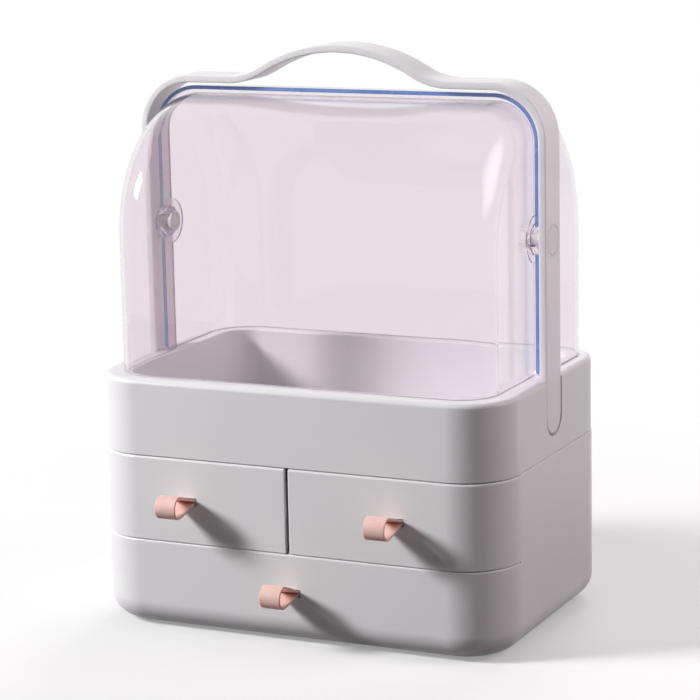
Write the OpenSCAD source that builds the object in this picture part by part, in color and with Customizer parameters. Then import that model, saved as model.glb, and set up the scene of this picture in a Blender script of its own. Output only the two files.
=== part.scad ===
// Makeup organizer: a three-drawer cabinet with an open tray, two clear covers and a carrying handle.
// Millimetres. +X is to the right, the drawers open towards -Y, +Z is up, and it stands on Z = 0.

/* [Cabinet] */
// Width of the cabinet from side to side
cab_w = 280; // [250:1:320]
// Depth of the cabinet from front to back
cab_d = 190; // [170:1:220]
// Radius of the four upright corners
corner_r = 35; // [30:1:42]
// Radius of the rounding along the bottom edge
base_r = 16.3; // [12:0.1:20]
// Thickness of the moulded walls
wall = 2.5; // [2:0.1:3]
// Height of the seam between the lower and the upper drawers
lower_seam_z = 58.3; // [52:0.1:66]
// Height of the seam between the upper drawers and the tray
tray_seam_z = 112.6; // [106:0.1:124]
// Width of the open line at each seam
seam = 0.6; // [0.4:0.1:0.9]
// Depth of the shadow groove under the tray on the sides and back
groove_d = 1; // [0.6:0.1:1.5]
// Thickness of the shelf and of the divider
panel_t = 2; // [1.6:0.1:2.6]
// Width of the ledge that carries the shelf
ledge_w = 3; // [2.5:0.1:4]
// Thickness of that ledge
ledge_t = 2; // [1.5:0.1:3]
// How far the front edge of the divider is set back from the front
divider_setback = 9; // [7:0.5:14]

/* [Feet] */
// Diameter of the rubber feet
foot_d = 12; // [8:0.5:16]
// How far the feet lift the base off the table
foot_h = 1.2; // [1:0.1:2]
// Distance between the feet from side to side
foot_pitch_x = 200; // [160:1:205]
// Distance between the feet from front to back
foot_pitch_y = 116; // [90:1:122]

/* [Drawers] */
// Width of the open gap between the two upper drawer fronts
centre_gap = 1.8; // [1.2:0.1:2.6]
// Thickness of the walls of the drawer boxes
box_wall = 1.8; // [1.4:0.1:2.4]
// Gap between the drawer boxes and what they slide past
side_gap = 0.8; // [0.5:0.1:1.2]
// Running gap under each drawer box
run_gap = 0.3; // [0.2:0.1:0.5]
// Room above each drawer box
head_gap = 7; // [6:0.5:12]
// Room behind each drawer box
rear_gap = 2; // [1:0.5:5]
// Radius of the rounding along the bottom of the lower drawer box
lower_box_r = 14; // [13:0.5:17]
// Width of the pad that joins each box to its front
pad_w = 60; // [40:1:90]

/* [Pulls] */
// Width of the strap
strap_w = 14; // [10:0.5:18]
// Thickness of the strap
strap_t = 1.4; // [1.1:0.1:1.8]
// Outer radius of the loop
loop_r = 7.2; // [6.4:0.1:10]
// Distance from the front to the middle of the loop
loop_reach = 20.1; // [16:0.1:24]
// Angle by which the upper loops point up
upper_lift = 3; // [0:0.5:8]
// Angle by which the lower loop points up
lower_lift = 8; // [0:0.5:12]
// Gap between the strap and its slot at each end
slot_gap = 0.8; // [0.3:0.1:1.2]
// Height of the slot
slot_h = 5; // [4.2:0.1:5.4]
// Height of the lower pull above the middle of its drawer front
lower_pull_rise = 4; // [0:0.5:6]
// Length of the clamp across the strap
clamp_w = 22; // [20:0.5:26]
// Thickness of the clamp
clamp_t = 3; // [2:0.1:4]
// Height of the clamp
clamp_h = 10; // [8:0.5:12]

/* [Tray] */
// How far the tray is set in from the cabinet on each side
tray_inset = 0.4; // [0:0.1:0.8]
// Height of the top of the rim
rim_z = 160.8; // [150:0.1:172]
// Radius of the rounding along the outer edge of the rim
rim_r = 3.4; // [2:0.1:5]
// Thickness of the wall and floor of the inner tub
tub_wall = 2; // [1.6:0.1:2.6]
// Radius along the bottom edge of the inner tub
tub_r = 8; // [5:0.5:12]
// Width of the ledge between the inside of the front cover and the tub
tub_ledge = 3; // [2:0.5:6]
// Length of the locating tabs under the tray
tab_w = 14; // [10:1:20]
// How far these tabs reach down into the cabinet
tab_h = 5; // [3:0.5:6]
// Thickness of these tabs
tab_t = 2; // [1.6:0.1:2.4]
// Gap between these tabs and the wall
tab_gap = 0.3; // [0.2:0.1:0.5]

/* [Covers] */
// Height of the hinge line above the table
hinge_z = 246; // [236:0.5:256]
// Outer radius of the rear cover about the hinge line
rear_reach = 89.4; // [80:0.1:100]
// Radius of the rounded edges of the rear cover
rear_edge_r = 29.5; // [24:0.5:34]
// Thickness of the clear covers
cover_t = 2.4; // [2:0.1:3]
// Gap between the two covers
cover_gap = 2.4; // [1.6:0.1:3.2]
// How far the rear cover reaches in front of the hinge line
cover_lap = 5.5; // [4:0.5:7]
// Gap between each cover and the rim below it
seat_gap = 0.3; // [0.2:0.1:0.5]
// Width of the locating tabs under the rear cover
cover_tab_w = 18; // [12:1:24]
// Depth of these tabs
cover_tab_h = 4; // [3:0.5:6]
// How far behind the hinge line these tabs are
cover_tab_y = 36; // [28:1:42]

/* [Hinge] */
// Outer diameter of the bosses on the front cover
boss_d = 18.6; // [16:0.1:21]
// Diameter of the round flange at the foot of each boss
flange_d = 29; // [26:0.5:31]
// Thickness of that flange
flange_t = 0.8; // [0.5:0.1:1.1]
// Gap round the boss in the rear cover
boss_gap = 0.6; // [0.4:0.1:1]
// Diameter of the hinge pins
pin_d = 8; // [6:0.1:9]
// Running gap between pin and boss, on the radius
pin_fit = 0.06; // [0.04:0.01:0.09]
// Diameter of the cap of each pin
cap_d = 18.4; // [14:0.1:19]
// Thickness of that cap
cap_t = 2.2; // [1.6:0.1:2.6]
// Gap round the cap, on the radius
cap_gap = 0.2; // [0.1:0.05:0.3]
// Diameter of the washers that hold the pins
washer_d = 13; // [11:0.5:16]
// Thickness of these washers
washer_t = 2; // [1.5:0.1:3]
// Play between a boss and what it turns against, at each end
end_play = 0.3; // [0.2:0.1:0.5]

/* [Handle] */
// Thickness of the strap
strap_th = 5; // [4.4:0.1:6]
// Width of the strap from front to back
handle_w = 24.8; // [22:0.1:30]
// Gap between the rear cover and the handle
handle_gap = 2.5; // [1.8:0.1:3.5]
// How far the outside of each leg lies inside the side of the tray
leg_recess = 0.3; // [0:0.1:0.8]
// Outer radius of the upper corners
handle_corner_r = 35; // [30:0.5:40]
// Height of the grip above the shoulders
grip_rise = 20.9; // [16:0.1:26]
// Radius of the middle of the strap over the grip
grip_r = 102; // [90:1:110]
// Radius of the middle of the strap where the grip meets the shoulders
valley_r = 47; // [36:1:56]
// Height of the lowest point of each leg
leg_foot_z = 124.6; // [121:0.1:130]
// Gap between a leg and its slot in the tray
leg_gap = 0.8; // [0.4:0.1:1.2]
// Gap below the rounded foot of each leg
leg_foot_gap = 1.5; // [0.8:0.1:2]
// Diameter of the pegs that hold the legs to the tray
peg_d = 5; // [4:0.1:6]
// Distance between the two pegs of a leg
peg_pitch = 14; // [12:0.5:15]
// Gap round the pegs, on the radius
peg_gap = 0.15; // [0.1:0.05:0.3]

/* [Hidden] */
$fn = 96;

white = [0.93, 0.92, 0.92];
inner_white = [0.88, 0.87, 0.87];
clear = [0.86, 0.80, 0.86, 0.35];
pink = [0.93, 0.72, 0.68];
dark = [0.25, 0.24, 0.24];

// A cut runs this far past the faces that it opens.
over = 1;
// Steps along the round end of a pull, and along each arc of the handle.
loop_steps = 40;
strap_steps = 20;
// The open line between the two layers of a strap.
slit = 0.1;
// Gap above and below the strap in its clamp.
clamp_fit = 0.15;

// Cabinet
half_w = cab_w / 2;
half_d = cab_d / 2;
front_y = -half_d;
inner_half_w = half_w - wall;
// The drawer fronts end, and the side walls begin, where the upright corners end.
side_seam_y = front_y + corner_r - seam;
base_top_z = foot_h + wall;
shelf_z = lower_seam_z - panel_t / 2;
shelf_top_z = shelf_z + panel_t;

// Drawers
upper_front_z = lower_seam_z + seam / 2;
upper_front_top = tray_seam_z - seam;
lower_front_top = lower_seam_z - seam / 2;
upper_box_inset = wall + side_gap;
lower_box_inset = wall + ledge_w + side_gap;
upper_box_z = shelf_top_z + run_gap;
upper_box_top = tray_seam_z - tab_h - head_gap / 2;
lower_box_z = base_top_z + run_gap;
lower_box_top = shelf_z - ledge_t - head_gap / 2;
box_side_x = panel_t / 2 + side_gap;
pull_x = (half_w + centre_gap / 2) / 2;
upper_pull_z = (upper_front_z + upper_front_top) / 2;
lower_pull_z = (foot_h + lower_front_top) / 2 + lower_pull_rise;

// Handle legs, let into the sides of the tray
tray_half_w = half_w - tray_inset;
leg_out_x = tray_half_w - leg_recess;
leg_in_x = leg_out_x - strap_th;

// Covers, given by the outside of each. The rear one fits between the legs.
rear_half_w = leg_in_x - handle_gap;
front_half_w = rear_half_w - cover_t - cover_gap;
front_reach = rear_reach - cover_t - cover_gap;
front_edge_r = rear_edge_r - cover_t - cover_gap;
cover_foot_z = rim_z + seat_gap;
boss_hole_r = boss_d / 2 + boss_gap;
pin_inner_x = front_half_w - cover_t - end_play - washer_t;

// Handle
shoulder_z = hinge_z + rear_reach + handle_gap;
shoulder_mid_z = shoulder_z + strap_th / 2;
// The grip is two valley arcs and one crown arc, which meet where their slopes agree.
grip_angle = acos(1 - grip_rise / (grip_r + valley_r));
grip_half_w = (grip_r + valley_r) * sin(grip_angle);
corner_x = leg_out_x - handle_corner_r;
corner_z = shoulder_z + strap_th - handle_corner_r;
leg_r = handle_w / 2;
leg_end_z = leg_foot_z + leg_r;

// Tray
tub_half_w = front_half_w - cover_t - tub_ledge;
tub_half_d = front_reach - cover_t - tub_ledge;
tub_corner_r = front_edge_r - cover_t - tub_ledge;
slot_back_x = leg_in_x - end_play;
slot_r = leg_r + leg_gap;
// Where the locating tabs stand along the sides and the back.
front_tab_y = -half_d / 4;
rear_tab_y = half_d / 2;
back_tab_x = half_w / 2;
// The upper peg of each leg lies this far below the underside of the rim.
peg_drop = 1.5;
upper_peg_z = rim_z - wall - peg_drop - peg_d / 2;

// The pulls reach furthest forward, so the middle of the whole box lies in front of the cabinet's middle.
reach_y = front_y - loop_reach - loop_r;
origin_y = (reach_y + half_d) / 2;

// ---------- shared shapes ----------

// Puts a piece in the frame of the whole object.
module in_frame() {
    translate([0, -origin_y, 0]) children();
}

// A rectangle with round corners, given by its half sizes.
module round_rect(hx, hy, r) {
    square([2 * (hx - r), 2 * hy], center = true);
    square([2 * hx, 2 * (hy - r)], center = true);
    for (sx = [-1, 1], sy = [-1, 1])
        translate([sx * (hx - r), sy * (hy - r)]) circle(r);
}

// The plan of the cabinet, set in by a distance.
module plan(inset) {
    round_rect(half_w - inset, half_d - inset, corner_r - inset);
}

// The cross-section of an edge strip: r wide, h high, with its outer corners rounded below and above.
module edge_section(r, h, r_low, r_top) {
    difference() {
        square([r, h]);
        if (r_low > 0)
            difference() {
                translate([r - r_low, -over]) square([r_low + over, r_low + over]);
                translate([r - r_low, r_low]) circle(r_low);
            }
        if (r_top > 0)
            difference() {
                translate([r - r_top, h - r_top]) square([r_top + over, r_top + over]);
                translate([r - r_top, h - r_top]) circle(r_top);
            }
    }
}

// A block with round upright corners, and with rounded edges below and above.
module round_block(hx, hy, r, z_low, z_top, r_low = 0, r_top = 0) {
    h = z_top - z_low;
    if (r_low == 0 && r_top == 0) {
        translate([0, 0, z_low]) linear_extrude(h) round_rect(hx, hy, r);
    } else translate([0, 0, z_low]) {
        for (k = [0 : 3])
            translate([(k == 0 || k == 3 ? 1 : -1) * (hx - r), (k < 2 ? 1 : -1) * (hy - r), 0])
                rotate([0, 0, 90 * k]) rotate_extrude(angle = 90) edge_section(r, h, r_low, r_top);
        for (side = [0, 180])
            rotate([0, 0, side]) {
                translate([hx - r, hy - r, 0]) rotate([90, 0, 0])
                    linear_extrude(2 * (hy - r)) edge_section(r, h, r_low, r_top);
                translate([-(hx - r), hy - r, 0]) rotate([90, 0, 90])
                    linear_extrude(2 * (hx - r)) edge_section(r, h, r_low, r_top);
            }
        linear_extrude(h) square([2 * (hx - r), 2 * (hy - r)], center = true);
    }
}

// The same block on the plan of the cabinet.
module plan_block(inset, z_low, z_top, r_low = 0, r_top = 0) {
    round_block(half_w - inset, half_d - inset, corner_r - inset, z_low, z_top, r_low, r_top);
}

// Points along an arc from angle a0 to angle a1, in n steps, from the point numbered start.
function arc(cx, cy, r, a0, a1, n, start = 0) =
    [for (k = [start : n]) let (a = a0 + (a1 - a0) * k / n) [cx + r * cos(a), cy + r * sin(a)]];

// Everything in front of a plane across the object.
module ahead_of(y) {
    translate([-cab_w, y - 2 * cab_d, -cab_d]) cube([2 * cab_w, 2 * cab_d, 4 * cab_d]);
}

// Everything behind a plane across the object.
module behind(y) {
    translate([-cab_w, y, -cab_d]) cube([2 * cab_w, 2 * cab_d, 4 * cab_d]);
}

// A bar from x0 to x1 along X.
module x_bar(r, x0, x1) {
    translate([x0, 0, 0]) rotate([0, 90, 0]) cylinder(r = r, h = x1 - x0);
}

// ---------- cabinet ----------

module cabinet_shell() {
    color(white) in_frame() difference() {
        union() {
            difference() {
                plan_block(0, foot_h, tray_seam_z, r_low = base_r);
                plan_block(wall, base_top_z, tray_seam_z + over, r_low = base_r - wall);
                ahead_of(side_seam_y + seam / 2);
            }
            base_front();
            shelf_ledge();
        }
        top_groove();
    }
}

// The base goes on forward inside the curl of the lower drawer front.
module base_front() {
    inset = base_r + side_gap;
    translate([0, 0, foot_h]) linear_extrude(wall) plan(inset);
}

// A ledge round the sides and the back carries the shelf.
module shelf_ledge() {
    difference() {
        translate([0, 0, shelf_z - ledge_t]) linear_extrude(ledge_t) difference() {
            plan(wall / 2);
            plan(wall + ledge_w);
        }
        ahead_of(side_seam_y + seam / 2);
    }
}

// A narrow rebate leaves a shadow line under the tray.
module top_groove() {
    translate([0, 0, upper_front_top]) linear_extrude(seam + over) difference() {
        plan(-over);
        plan(groove_d);
    }
}

module drawer_shelf() {
    color(inner_white) in_frame()
        translate([0, 0, shelf_z]) linear_extrude(panel_t) plan(wall + run_gap);
}

module centre_divider() {
    y0 = front_y + divider_setback;
    color(inner_white) in_frame() translate([-panel_t / 2, y0, shelf_top_z])
        cube([panel_t, half_d - wall - run_gap - y0, tray_seam_z - shelf_top_z]);
}

module rubber_feet() {
    color(dark) in_frame() for (sx = [-1, 1], sy = [-1, 1])
        translate([sx * foot_pitch_x / 2, sy * foot_pitch_y / 2, 0]) cylinder(d = foot_d, h = foot_h);
}

// ---------- drawers ----------

// A front panel that wraps round the front corners, with the slot for its pull.
module wrapped_front(z_low, z_top, r_low, slot_x, slot_z) {
    difference() {
        plan_block(0, z_low, z_top, r_low = r_low);
        plan_block(wall, z_low + (r_low > 0 ? wall : -over), z_top + over,
                   r_low = r_low > 0 ? r_low - wall : 0);
        behind(side_seam_y - seam / 2);
        if (r_low > 0)
            translate([0, 0, z_low - over]) linear_extrude(wall + 2 * over) plan(r_low);
        pull_slot(slot_x, slot_z);
    }
}

// The slot for a pull, through the front and whatever is behind it.
module pull_slot(x, z) {
    depth = wall + ledge_w + side_gap + box_wall + 2 * over;
    translate([x - strap_w / 2 - slot_gap, front_y - over, z - slot_h / 2])
        cube([strap_w + 2 * slot_gap, depth, slot_h]);
}

// The two upper drawers are mirror images.
module upper_front() {
    difference() {
        wrapped_front(upper_front_z, upper_front_top, 0, pull_x, upper_pull_z);
        translate([centre_gap / 2 - cab_w, -cab_d, 0]) cube([cab_w, 2 * cab_d, 2 * tray_seam_z]);
    }
}

// The plan of the right upper drawer box, set in further by the thickness of its wall.
module upper_box_plan(t) {
    difference() {
        plan(upper_box_inset + t);
        translate([box_side_x + t - cab_w, -cab_d]) square([cab_w, 2 * cab_d]);
        translate([-cab_w, half_d - wall - rear_gap - t]) square([2 * cab_w, cab_d]);
    }
}

module upper_box() {
    difference() {
        union() {
            translate([0, 0, upper_box_z]) linear_extrude(upper_box_top - upper_box_z) upper_box_plan(0);
            join_pad(pull_x, upper_box_inset, upper_box_z + box_wall, upper_box_top - box_wall);
        }
        translate([0, 0, upper_box_z + box_wall]) linear_extrude(cab_d) upper_box_plan(box_wall);
        pull_slot(pull_x, upper_pull_z);
    }
}

// The pad that joins a box to the inside of its front.
module join_pad(x, inset, z_low, z_top) {
    translate([x - pad_w / 2, front_y + wall, z_low]) cube([pad_w, inset - wall + box_wall / 2, z_top - z_low]);
}

module lower_box() {
    inset = lower_box_inset;
    difference() {
        union() {
            plan_block(inset, lower_box_z, lower_box_top, r_low = lower_box_r);
            join_pad(0, inset, lower_box_z + lower_box_r, lower_box_top - box_wall);
        }
        plan_block(inset + box_wall, lower_box_z + box_wall, lower_box_top + over,
                   r_low = lower_box_r - box_wall);
        pull_slot(0, lower_pull_z);
    }
}

module left_drawer_front() {
    color(white) in_frame() mirror([1, 0, 0]) upper_front();
}

module right_drawer_front() {
    color(white) in_frame() upper_front();
}

module left_drawer_box() {
    color(inner_white) in_frame() mirror([1, 0, 0]) upper_box();
}

module right_drawer_box() {
    color(inner_white) in_frame() upper_box();
}

module bottom_drawer_front() {
    color(white) in_frame() wrapped_front(foot_h, lower_front_top, base_r, 0, lower_pull_z);
}

module bottom_drawer_box() {
    color(inner_white) in_frame() lower_box();
}

// ---------- pulls ----------

// The outline of the loop from the side, with Y pointing back into the front panel: a round end of
// radius r, and two tangents that close to a half thickness e where they meet the panel. It is turned
// about that place, so that it points up by the lift.
module drop(r, e, lift) {
    slope = loop_reach / cos(lift);
    lean = asin((r - e) / slope);
    rotate(-lift)
        polygon(concat(arc(-slope, 0, r, 90 - lean, 270 + lean, loop_steps),
                       arc(0, 0, e, 270 + lean, 450 - lean, 1)));
}

// One strap, folded into a loop. Both ends run back through the slot and the clamp.
module pull(x, z, inset, lift) {
    tail = inset + box_wall + clamp_t;
    translate([x - strap_w / 2, front_y, z]) rotate([90, 0, 90]) linear_extrude(strap_w) {
        difference() {
            drop(loop_r, strap_t + slit / 2, lift);
            drop(loop_r - strap_t, slit / 2, lift);
        }
        translate([0, -strap_t - slit / 2]) square([tail, 2 * strap_t + slit]);
    }
}

// A bar behind the box wall grips both ends of the strap.
module pull_clamp(x, z, inset) {
    mouth_h = 2 * strap_t + slit + 2 * clamp_fit;
    translate([x, front_y + inset + box_wall, z]) difference() {
        translate([-clamp_w / 2, 0, -clamp_h / 2]) cube([clamp_w, clamp_t, clamp_h]);
        translate([-strap_w / 2 - slot_gap, -over, -mouth_h / 2])
            cube([strap_w + 2 * slot_gap, clamp_t + 2 * over, mouth_h]);
    }
}

module left_pull() {
    color(pink) in_frame() pull(-pull_x, upper_pull_z, upper_box_inset, upper_lift);
}

module right_pull() {
    color(pink) in_frame() pull(pull_x, upper_pull_z, upper_box_inset, upper_lift);
}

module bottom_pull() {
    color(pink) in_frame() pull(0, lower_pull_z, lower_box_inset, lower_lift);
}

module left_pull_clamp() {
    color(inner_white) in_frame() pull_clamp(-pull_x, upper_pull_z, upper_box_inset);
}

module right_pull_clamp() {
    color(inner_white) in_frame() pull_clamp(pull_x, upper_pull_z, upper_box_inset);
}

module bottom_pull_clamp() {
    color(inner_white) in_frame() pull_clamp(0, lower_pull_z, lower_box_inset);
}

// ---------- tray ----------

// An outer skirt and an inner tub, joined by the rim.
module top_tray() {
    color(white) in_frame() {
        difference() {
            union() {
                difference() {
                    tray_block(0, tray_seam_z, rim_z, rim_r);
                    tray_block(wall, tray_seam_z - over, rim_z - wall, max(rim_r - wall, 0));
                }
                tub_block(-tub_wall, tray_seam_z, rim_z - wall / 2);
                for (sx = [-1, 1]) on_side(sx) leg_pocket();
            }
            tub_block(0, tray_seam_z + tub_wall, rim_z + over);
            for (sx = [-1, 1]) on_side(sx) {
                leg_slot();
                peg_holes();
                cover_tab_slot();
            }
        }
        tray_tabs();
    }
}

// Mirrors a piece to the left for -1 and leaves it on the right for 1.
module on_side(sx) {
    mirror([sx < 0 ? 1 : 0, 0, 0]) children();
}

// The outside of the tray, set in by a distance.
module tray_block(inset, z_low, z_top, r_top) {
    t = tray_inset + inset;
    plan_block(t, z_low, z_top, r_top = r_top);
}

// The inside of the tub, set in by a distance.
module tub_block(inset, z_low, z_top) {
    round_block(tub_half_w - inset, tub_half_d - inset, tub_corner_r - inset, z_low, z_top,
                r_low = tub_r - inset);
}

// The pocket that holds the foot of a leg, and the slot that the leg goes down.
module leg_pocket() {
    half = slot_r + wall;
    z_low = leg_foot_z - leg_foot_gap - wall;
    translate([slot_back_x - wall, -half, z_low])
        cube([tray_half_w - wall / 2 - slot_back_x + wall, 2 * half, rim_z - wall / 2 - z_low]);
}

module leg_slot() {
    z_mid = leg_foot_z - leg_foot_gap + slot_r;
    translate([0, 0, z_mid]) x_bar(slot_r, slot_back_x, half_w + over);
    translate([slot_back_x, -slot_r, z_mid]) cube([half_w, 2 * slot_r, rim_z + over - z_mid]);
}

module peg_holes() {
    for (z = [upper_peg_z, upper_peg_z - peg_pitch])
        translate([0, 0, z]) x_bar(peg_d / 2 + peg_gap, slot_back_x - wall - over, slot_back_x + over);
}

// The rear cover's tabs go down through these slots in the rim.
module cover_tab_slot() {
    translate([rear_half_w - cover_t - seat_gap, cover_tab_y - cover_tab_w / 2 - seat_gap, rim_z - wall - over])
        cube([cover_t + 2 * seat_gap, cover_tab_w + 2 * seat_gap, wall + 2 * over]);
}

// Tabs under the tray locate it inside the side walls and the back of the cabinet.
module tray_tabs() {
    for (sx = [-1, 1]) {
        on_side(sx) for (y = [front_tab_y, rear_tab_y])
            translate([0, y, 0]) tray_tab(inner_half_w, tray_half_w);
        translate([sx * back_tab_x, 0, 0]) rotate([0, 0, 90]) tray_tab(half_d - wall, half_d - tray_inset);
    }
}

// One tab, standing along Y, at the inner face of a wall.
module tray_tab(wall_x, skirt_x) {
    x = wall_x - tab_gap - tab_t;
    translate([x, -tab_w / 2, tray_seam_z - tab_h]) cube([tab_t, tab_w, tab_h + tab_t]);
    translate([x, -tab_w / 2, tray_seam_z]) cube([skirt_x - wall / 2 - x, tab_w, tab_t]);
}

// ---------- covers ----------

// Half a cover's outline: X is the distance from the hinge line and Y runs along it.
module half_outline(half, reach, r) {
    translate([0, -half]) square([reach - r, 2 * half]);
    translate([0, -(half - r)]) square([reach, 2 * (half - r)]);
    for (sy = [-1, 1]) translate([reach - r, sy * (half - r)]) circle(r);
}

module shell_outline(half, reach, r) {
    difference() {
        half_outline(half, reach, r);
        translate([-over, 0]) half_outline(half - cover_t, reach - cover_t + over, r - cover_t);
    }
}

// The rear half of a clear shell: upright walls below the hinge line, and above it the same outline
// turned about that line.
module half_shell(half, reach, r) {
    translate([0, 0, cover_foot_z]) linear_extrude(hinge_z - cover_foot_z)
        rotate(90) shell_outline(half, reach, r);
    translate([0, 0, hinge_z]) rotate([90, 0, 90]) rotate_extrude(angle = 90)
        shell_outline(half, reach, r);
}

module rear_cover() {
    color(clear) in_frame() {
        difference() {
            union() {
                half_shell(rear_half_w, rear_reach, rear_edge_r);
                cover_front_lap();
            }
            translate([0, 0, hinge_z]) x_bar(boss_hole_r, -half_w, half_w);
        }
        for (sx = [-1, 1]) on_side(sx) cover_tab();
    }
}

// The strip of the rear cover that reaches in front of the hinge line, over the front cover.
module cover_front_lap() {
    translate([0, 0, hinge_z]) rotate([90, 0, 0]) linear_extrude(cover_lap) {
        rotate(90) shell_outline(rear_half_w, rear_reach, rear_edge_r);
        for (sx = [-1, 1]) translate([sx * (rear_half_w - cover_t / 2), (cover_foot_z - hinge_z) / 2])
            square([cover_t, hinge_z - cover_foot_z], center = true);
    }
}

module cover_tab() {
    translate([rear_half_w - cover_t, cover_tab_y - cover_tab_w / 2, rim_z - cover_tab_h])
        cube([cover_t, cover_tab_w, cover_tab_h + seat_gap + cover_t]);
}

module front_cover() {
    color(clear) in_frame() difference() {
        union() {
            mirror([0, 1, 0]) half_shell(front_half_w, front_reach, front_edge_r);
            for (sx = [-1, 1]) on_side(sx) translate([0, 0, hinge_z]) {
                x_bar(flange_d / 2, front_half_w - cover_t, front_half_w + flange_t);
                x_bar(boss_d / 2, front_half_w - cover_t, leg_in_x - end_play);
            }
        }
        translate([0, 0, hinge_z]) x_bar(pin_d / 2 + pin_fit, -half_w, half_w);
    }
}

// ---------- hinge ----------

// A pin on the right, with its cap flush with the outside of the leg.
module hinge_pin() {
    translate([0, 0, hinge_z]) {
        x_bar(cap_d / 2, leg_out_x - cap_t, leg_out_x);
        x_bar(pin_d / 2, pin_inner_x, leg_out_x - cap_t / 2);
    }
}

// A washer pushed on to the inner end of the pin.
module pin_retainer() {
    translate([0, 0, hinge_z]) difference() {
        x_bar(washer_d / 2, pin_inner_x, pin_inner_x + washer_t);
        x_bar(pin_d / 2, pin_inner_x - over, pin_inner_x + washer_t + over);
    }
}

module left_hinge_pin() {
    color(white) in_frame() mirror([1, 0, 0]) hinge_pin();
}

module right_hinge_pin() {
    color(white) in_frame() hinge_pin();
}

module left_pin_retainer() {
    color(inner_white) in_frame() mirror([1, 0, 0]) pin_retainer();
}

module right_pin_retainer() {
    color(inner_white) in_frame() pin_retainer();
}

// ---------- handle ----------

// One face of the right half of the strap, from the middle of the grip down to the leg's foot. The
// face lies a distance d outside the middle of the strap.
function strap_face(d) = concat(
    arc(0, shoulder_mid_z + grip_rise - grip_r, grip_r + d, 90, 90 - grip_angle, strap_steps),
    arc(grip_half_w, shoulder_mid_z + valley_r, valley_r - d, 270 - grip_angle, 270, strap_steps, 1),
    arc(corner_x, corner_z, handle_corner_r - strap_th / 2 + d, 90, 0, strap_steps),
    [[leg_in_x + strap_th / 2 + d, leg_end_z]]);

function mirrored(points) = [for (p = points) [-p.x, p.y]];

function reversed(points) = [for (k = [len(points) - 1 : -1 : 0]) points[k]];

// The points of a list after the first.
function after_first(points) = [for (k = [1 : len(points) - 1]) points[k]];

// The strap seen from the front, without its rounded feet.
module strap_outline() {
    outer = strap_face(strap_th / 2);
    inner = strap_face(-strap_th / 2);
    polygon(concat(reversed(mirrored(after_first(outer))), outer,
                   reversed(inner), mirrored(after_first(inner))));
}

module carry_handle() {
    color(white) in_frame() difference() {
        union() {
            rotate([90, 0, 0]) linear_extrude(handle_w, center = true) strap_outline();
            for (sx = [-1, 1]) on_side(sx) {
                translate([0, 0, leg_end_z]) x_bar(leg_r, leg_in_x, leg_out_x);
                for (z = [upper_peg_z, upper_peg_z - peg_pitch])
                    translate([0, 0, z]) x_bar(peg_d / 2, slot_back_x - wall - end_play, leg_out_x - strap_th / 2);
            }
        }
        for (sx = [-1, 1]) on_side(sx) translate([0, 0, hinge_z]) {
            x_bar(pin_d / 2 + pin_fit, leg_in_x - over, leg_out_x + over);
            x_bar(cap_d / 2 + cap_gap, leg_out_x - cap_t, leg_out_x + over);
        }
    }
}

cabinet_shell();
drawer_shelf();
centre_divider();
top_tray();
carry_handle();
rear_cover();
front_cover();
left_hinge_pin();
right_hinge_pin();
left_pin_retainer();
right_pin_retainer();
left_drawer_front();
left_drawer_box();
left_pull();
left_pull_clamp();
right_drawer_front();
right_drawer_box();
right_pull();
right_pull_clamp();
bottom_drawer_front();
bottom_drawer_box();
bottom_pull();
bottom_pull_clamp();
rubber_feet();
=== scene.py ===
"""Surfaces, finishes and studio for a covered makeup organizer.

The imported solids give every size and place. Each class below is one sub-assembly: it builds its
surfaces with numpy and dresses them. Lengths are in metres, X runs to the right, the drawers open
towards -Y and Z is up.
"""

import logging
import math
from contextlib import contextmanager
from dataclasses import dataclass
from enum import Enum
from functools import cached_property
from typing import Any, Iterator, Sequence

import bmesh
import bpy
import numpy as np
from mathutils import Matrix, Vector


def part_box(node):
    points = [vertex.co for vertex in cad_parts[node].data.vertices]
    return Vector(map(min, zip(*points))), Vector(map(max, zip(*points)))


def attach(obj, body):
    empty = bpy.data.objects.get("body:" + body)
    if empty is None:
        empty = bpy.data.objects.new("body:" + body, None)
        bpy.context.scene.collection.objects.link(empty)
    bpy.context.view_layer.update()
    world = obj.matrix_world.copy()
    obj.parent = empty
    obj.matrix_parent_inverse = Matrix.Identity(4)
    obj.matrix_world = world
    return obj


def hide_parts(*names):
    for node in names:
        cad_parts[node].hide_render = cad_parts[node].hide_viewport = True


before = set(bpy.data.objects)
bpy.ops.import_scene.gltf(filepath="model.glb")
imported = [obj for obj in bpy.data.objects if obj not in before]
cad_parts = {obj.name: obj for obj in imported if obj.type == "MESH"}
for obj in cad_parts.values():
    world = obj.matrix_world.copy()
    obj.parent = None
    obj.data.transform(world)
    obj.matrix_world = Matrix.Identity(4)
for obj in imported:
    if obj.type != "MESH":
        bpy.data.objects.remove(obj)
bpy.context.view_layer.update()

MM = 0.001
HANDLE_THICK = 5 * MM  # thickness of the handle's strap, which the tray's slots and the pins fit
LOG = logging.getLogger("organizer")
Array = np.ndarray
Piece = bpy.types.Object
Material = bpy.types.Material
Node = bpy.types.Node
Socket = bpy.types.NodeSocket
Colour = tuple[float, float, float]


class Body(str, Enum):
    """The rigid bodies that a piece can ride on."""

    CABINET = "cabinet"
    FRONT_COVER = "front_cover"
    LEFT = "left_drawer"
    RIGHT = "right_drawer"
    BOTTOM = "bottom_drawer"

    def own(self, kind: str) -> str:
        """The name of one of a drawer's own nodes, such as its pull."""
        return self.value.replace("drawer", kind)


class Slot(str, Enum):
    """The record's material slots."""

    CASING = "casing_white"
    INNER = "inner_white"
    CLEAR = "clear_cover"
    STRAP = "pull_strap"
    RUBBER = "foot_rubber"


class Side(Enum):
    """The two sides of the object, as the sign of X."""

    LEFT = -1
    RIGHT = 1

    @property
    def turn(self) -> Array:
        """The factors that take rows of X and another value from the right to this side."""
        return np.array([self.value, 1])


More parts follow.
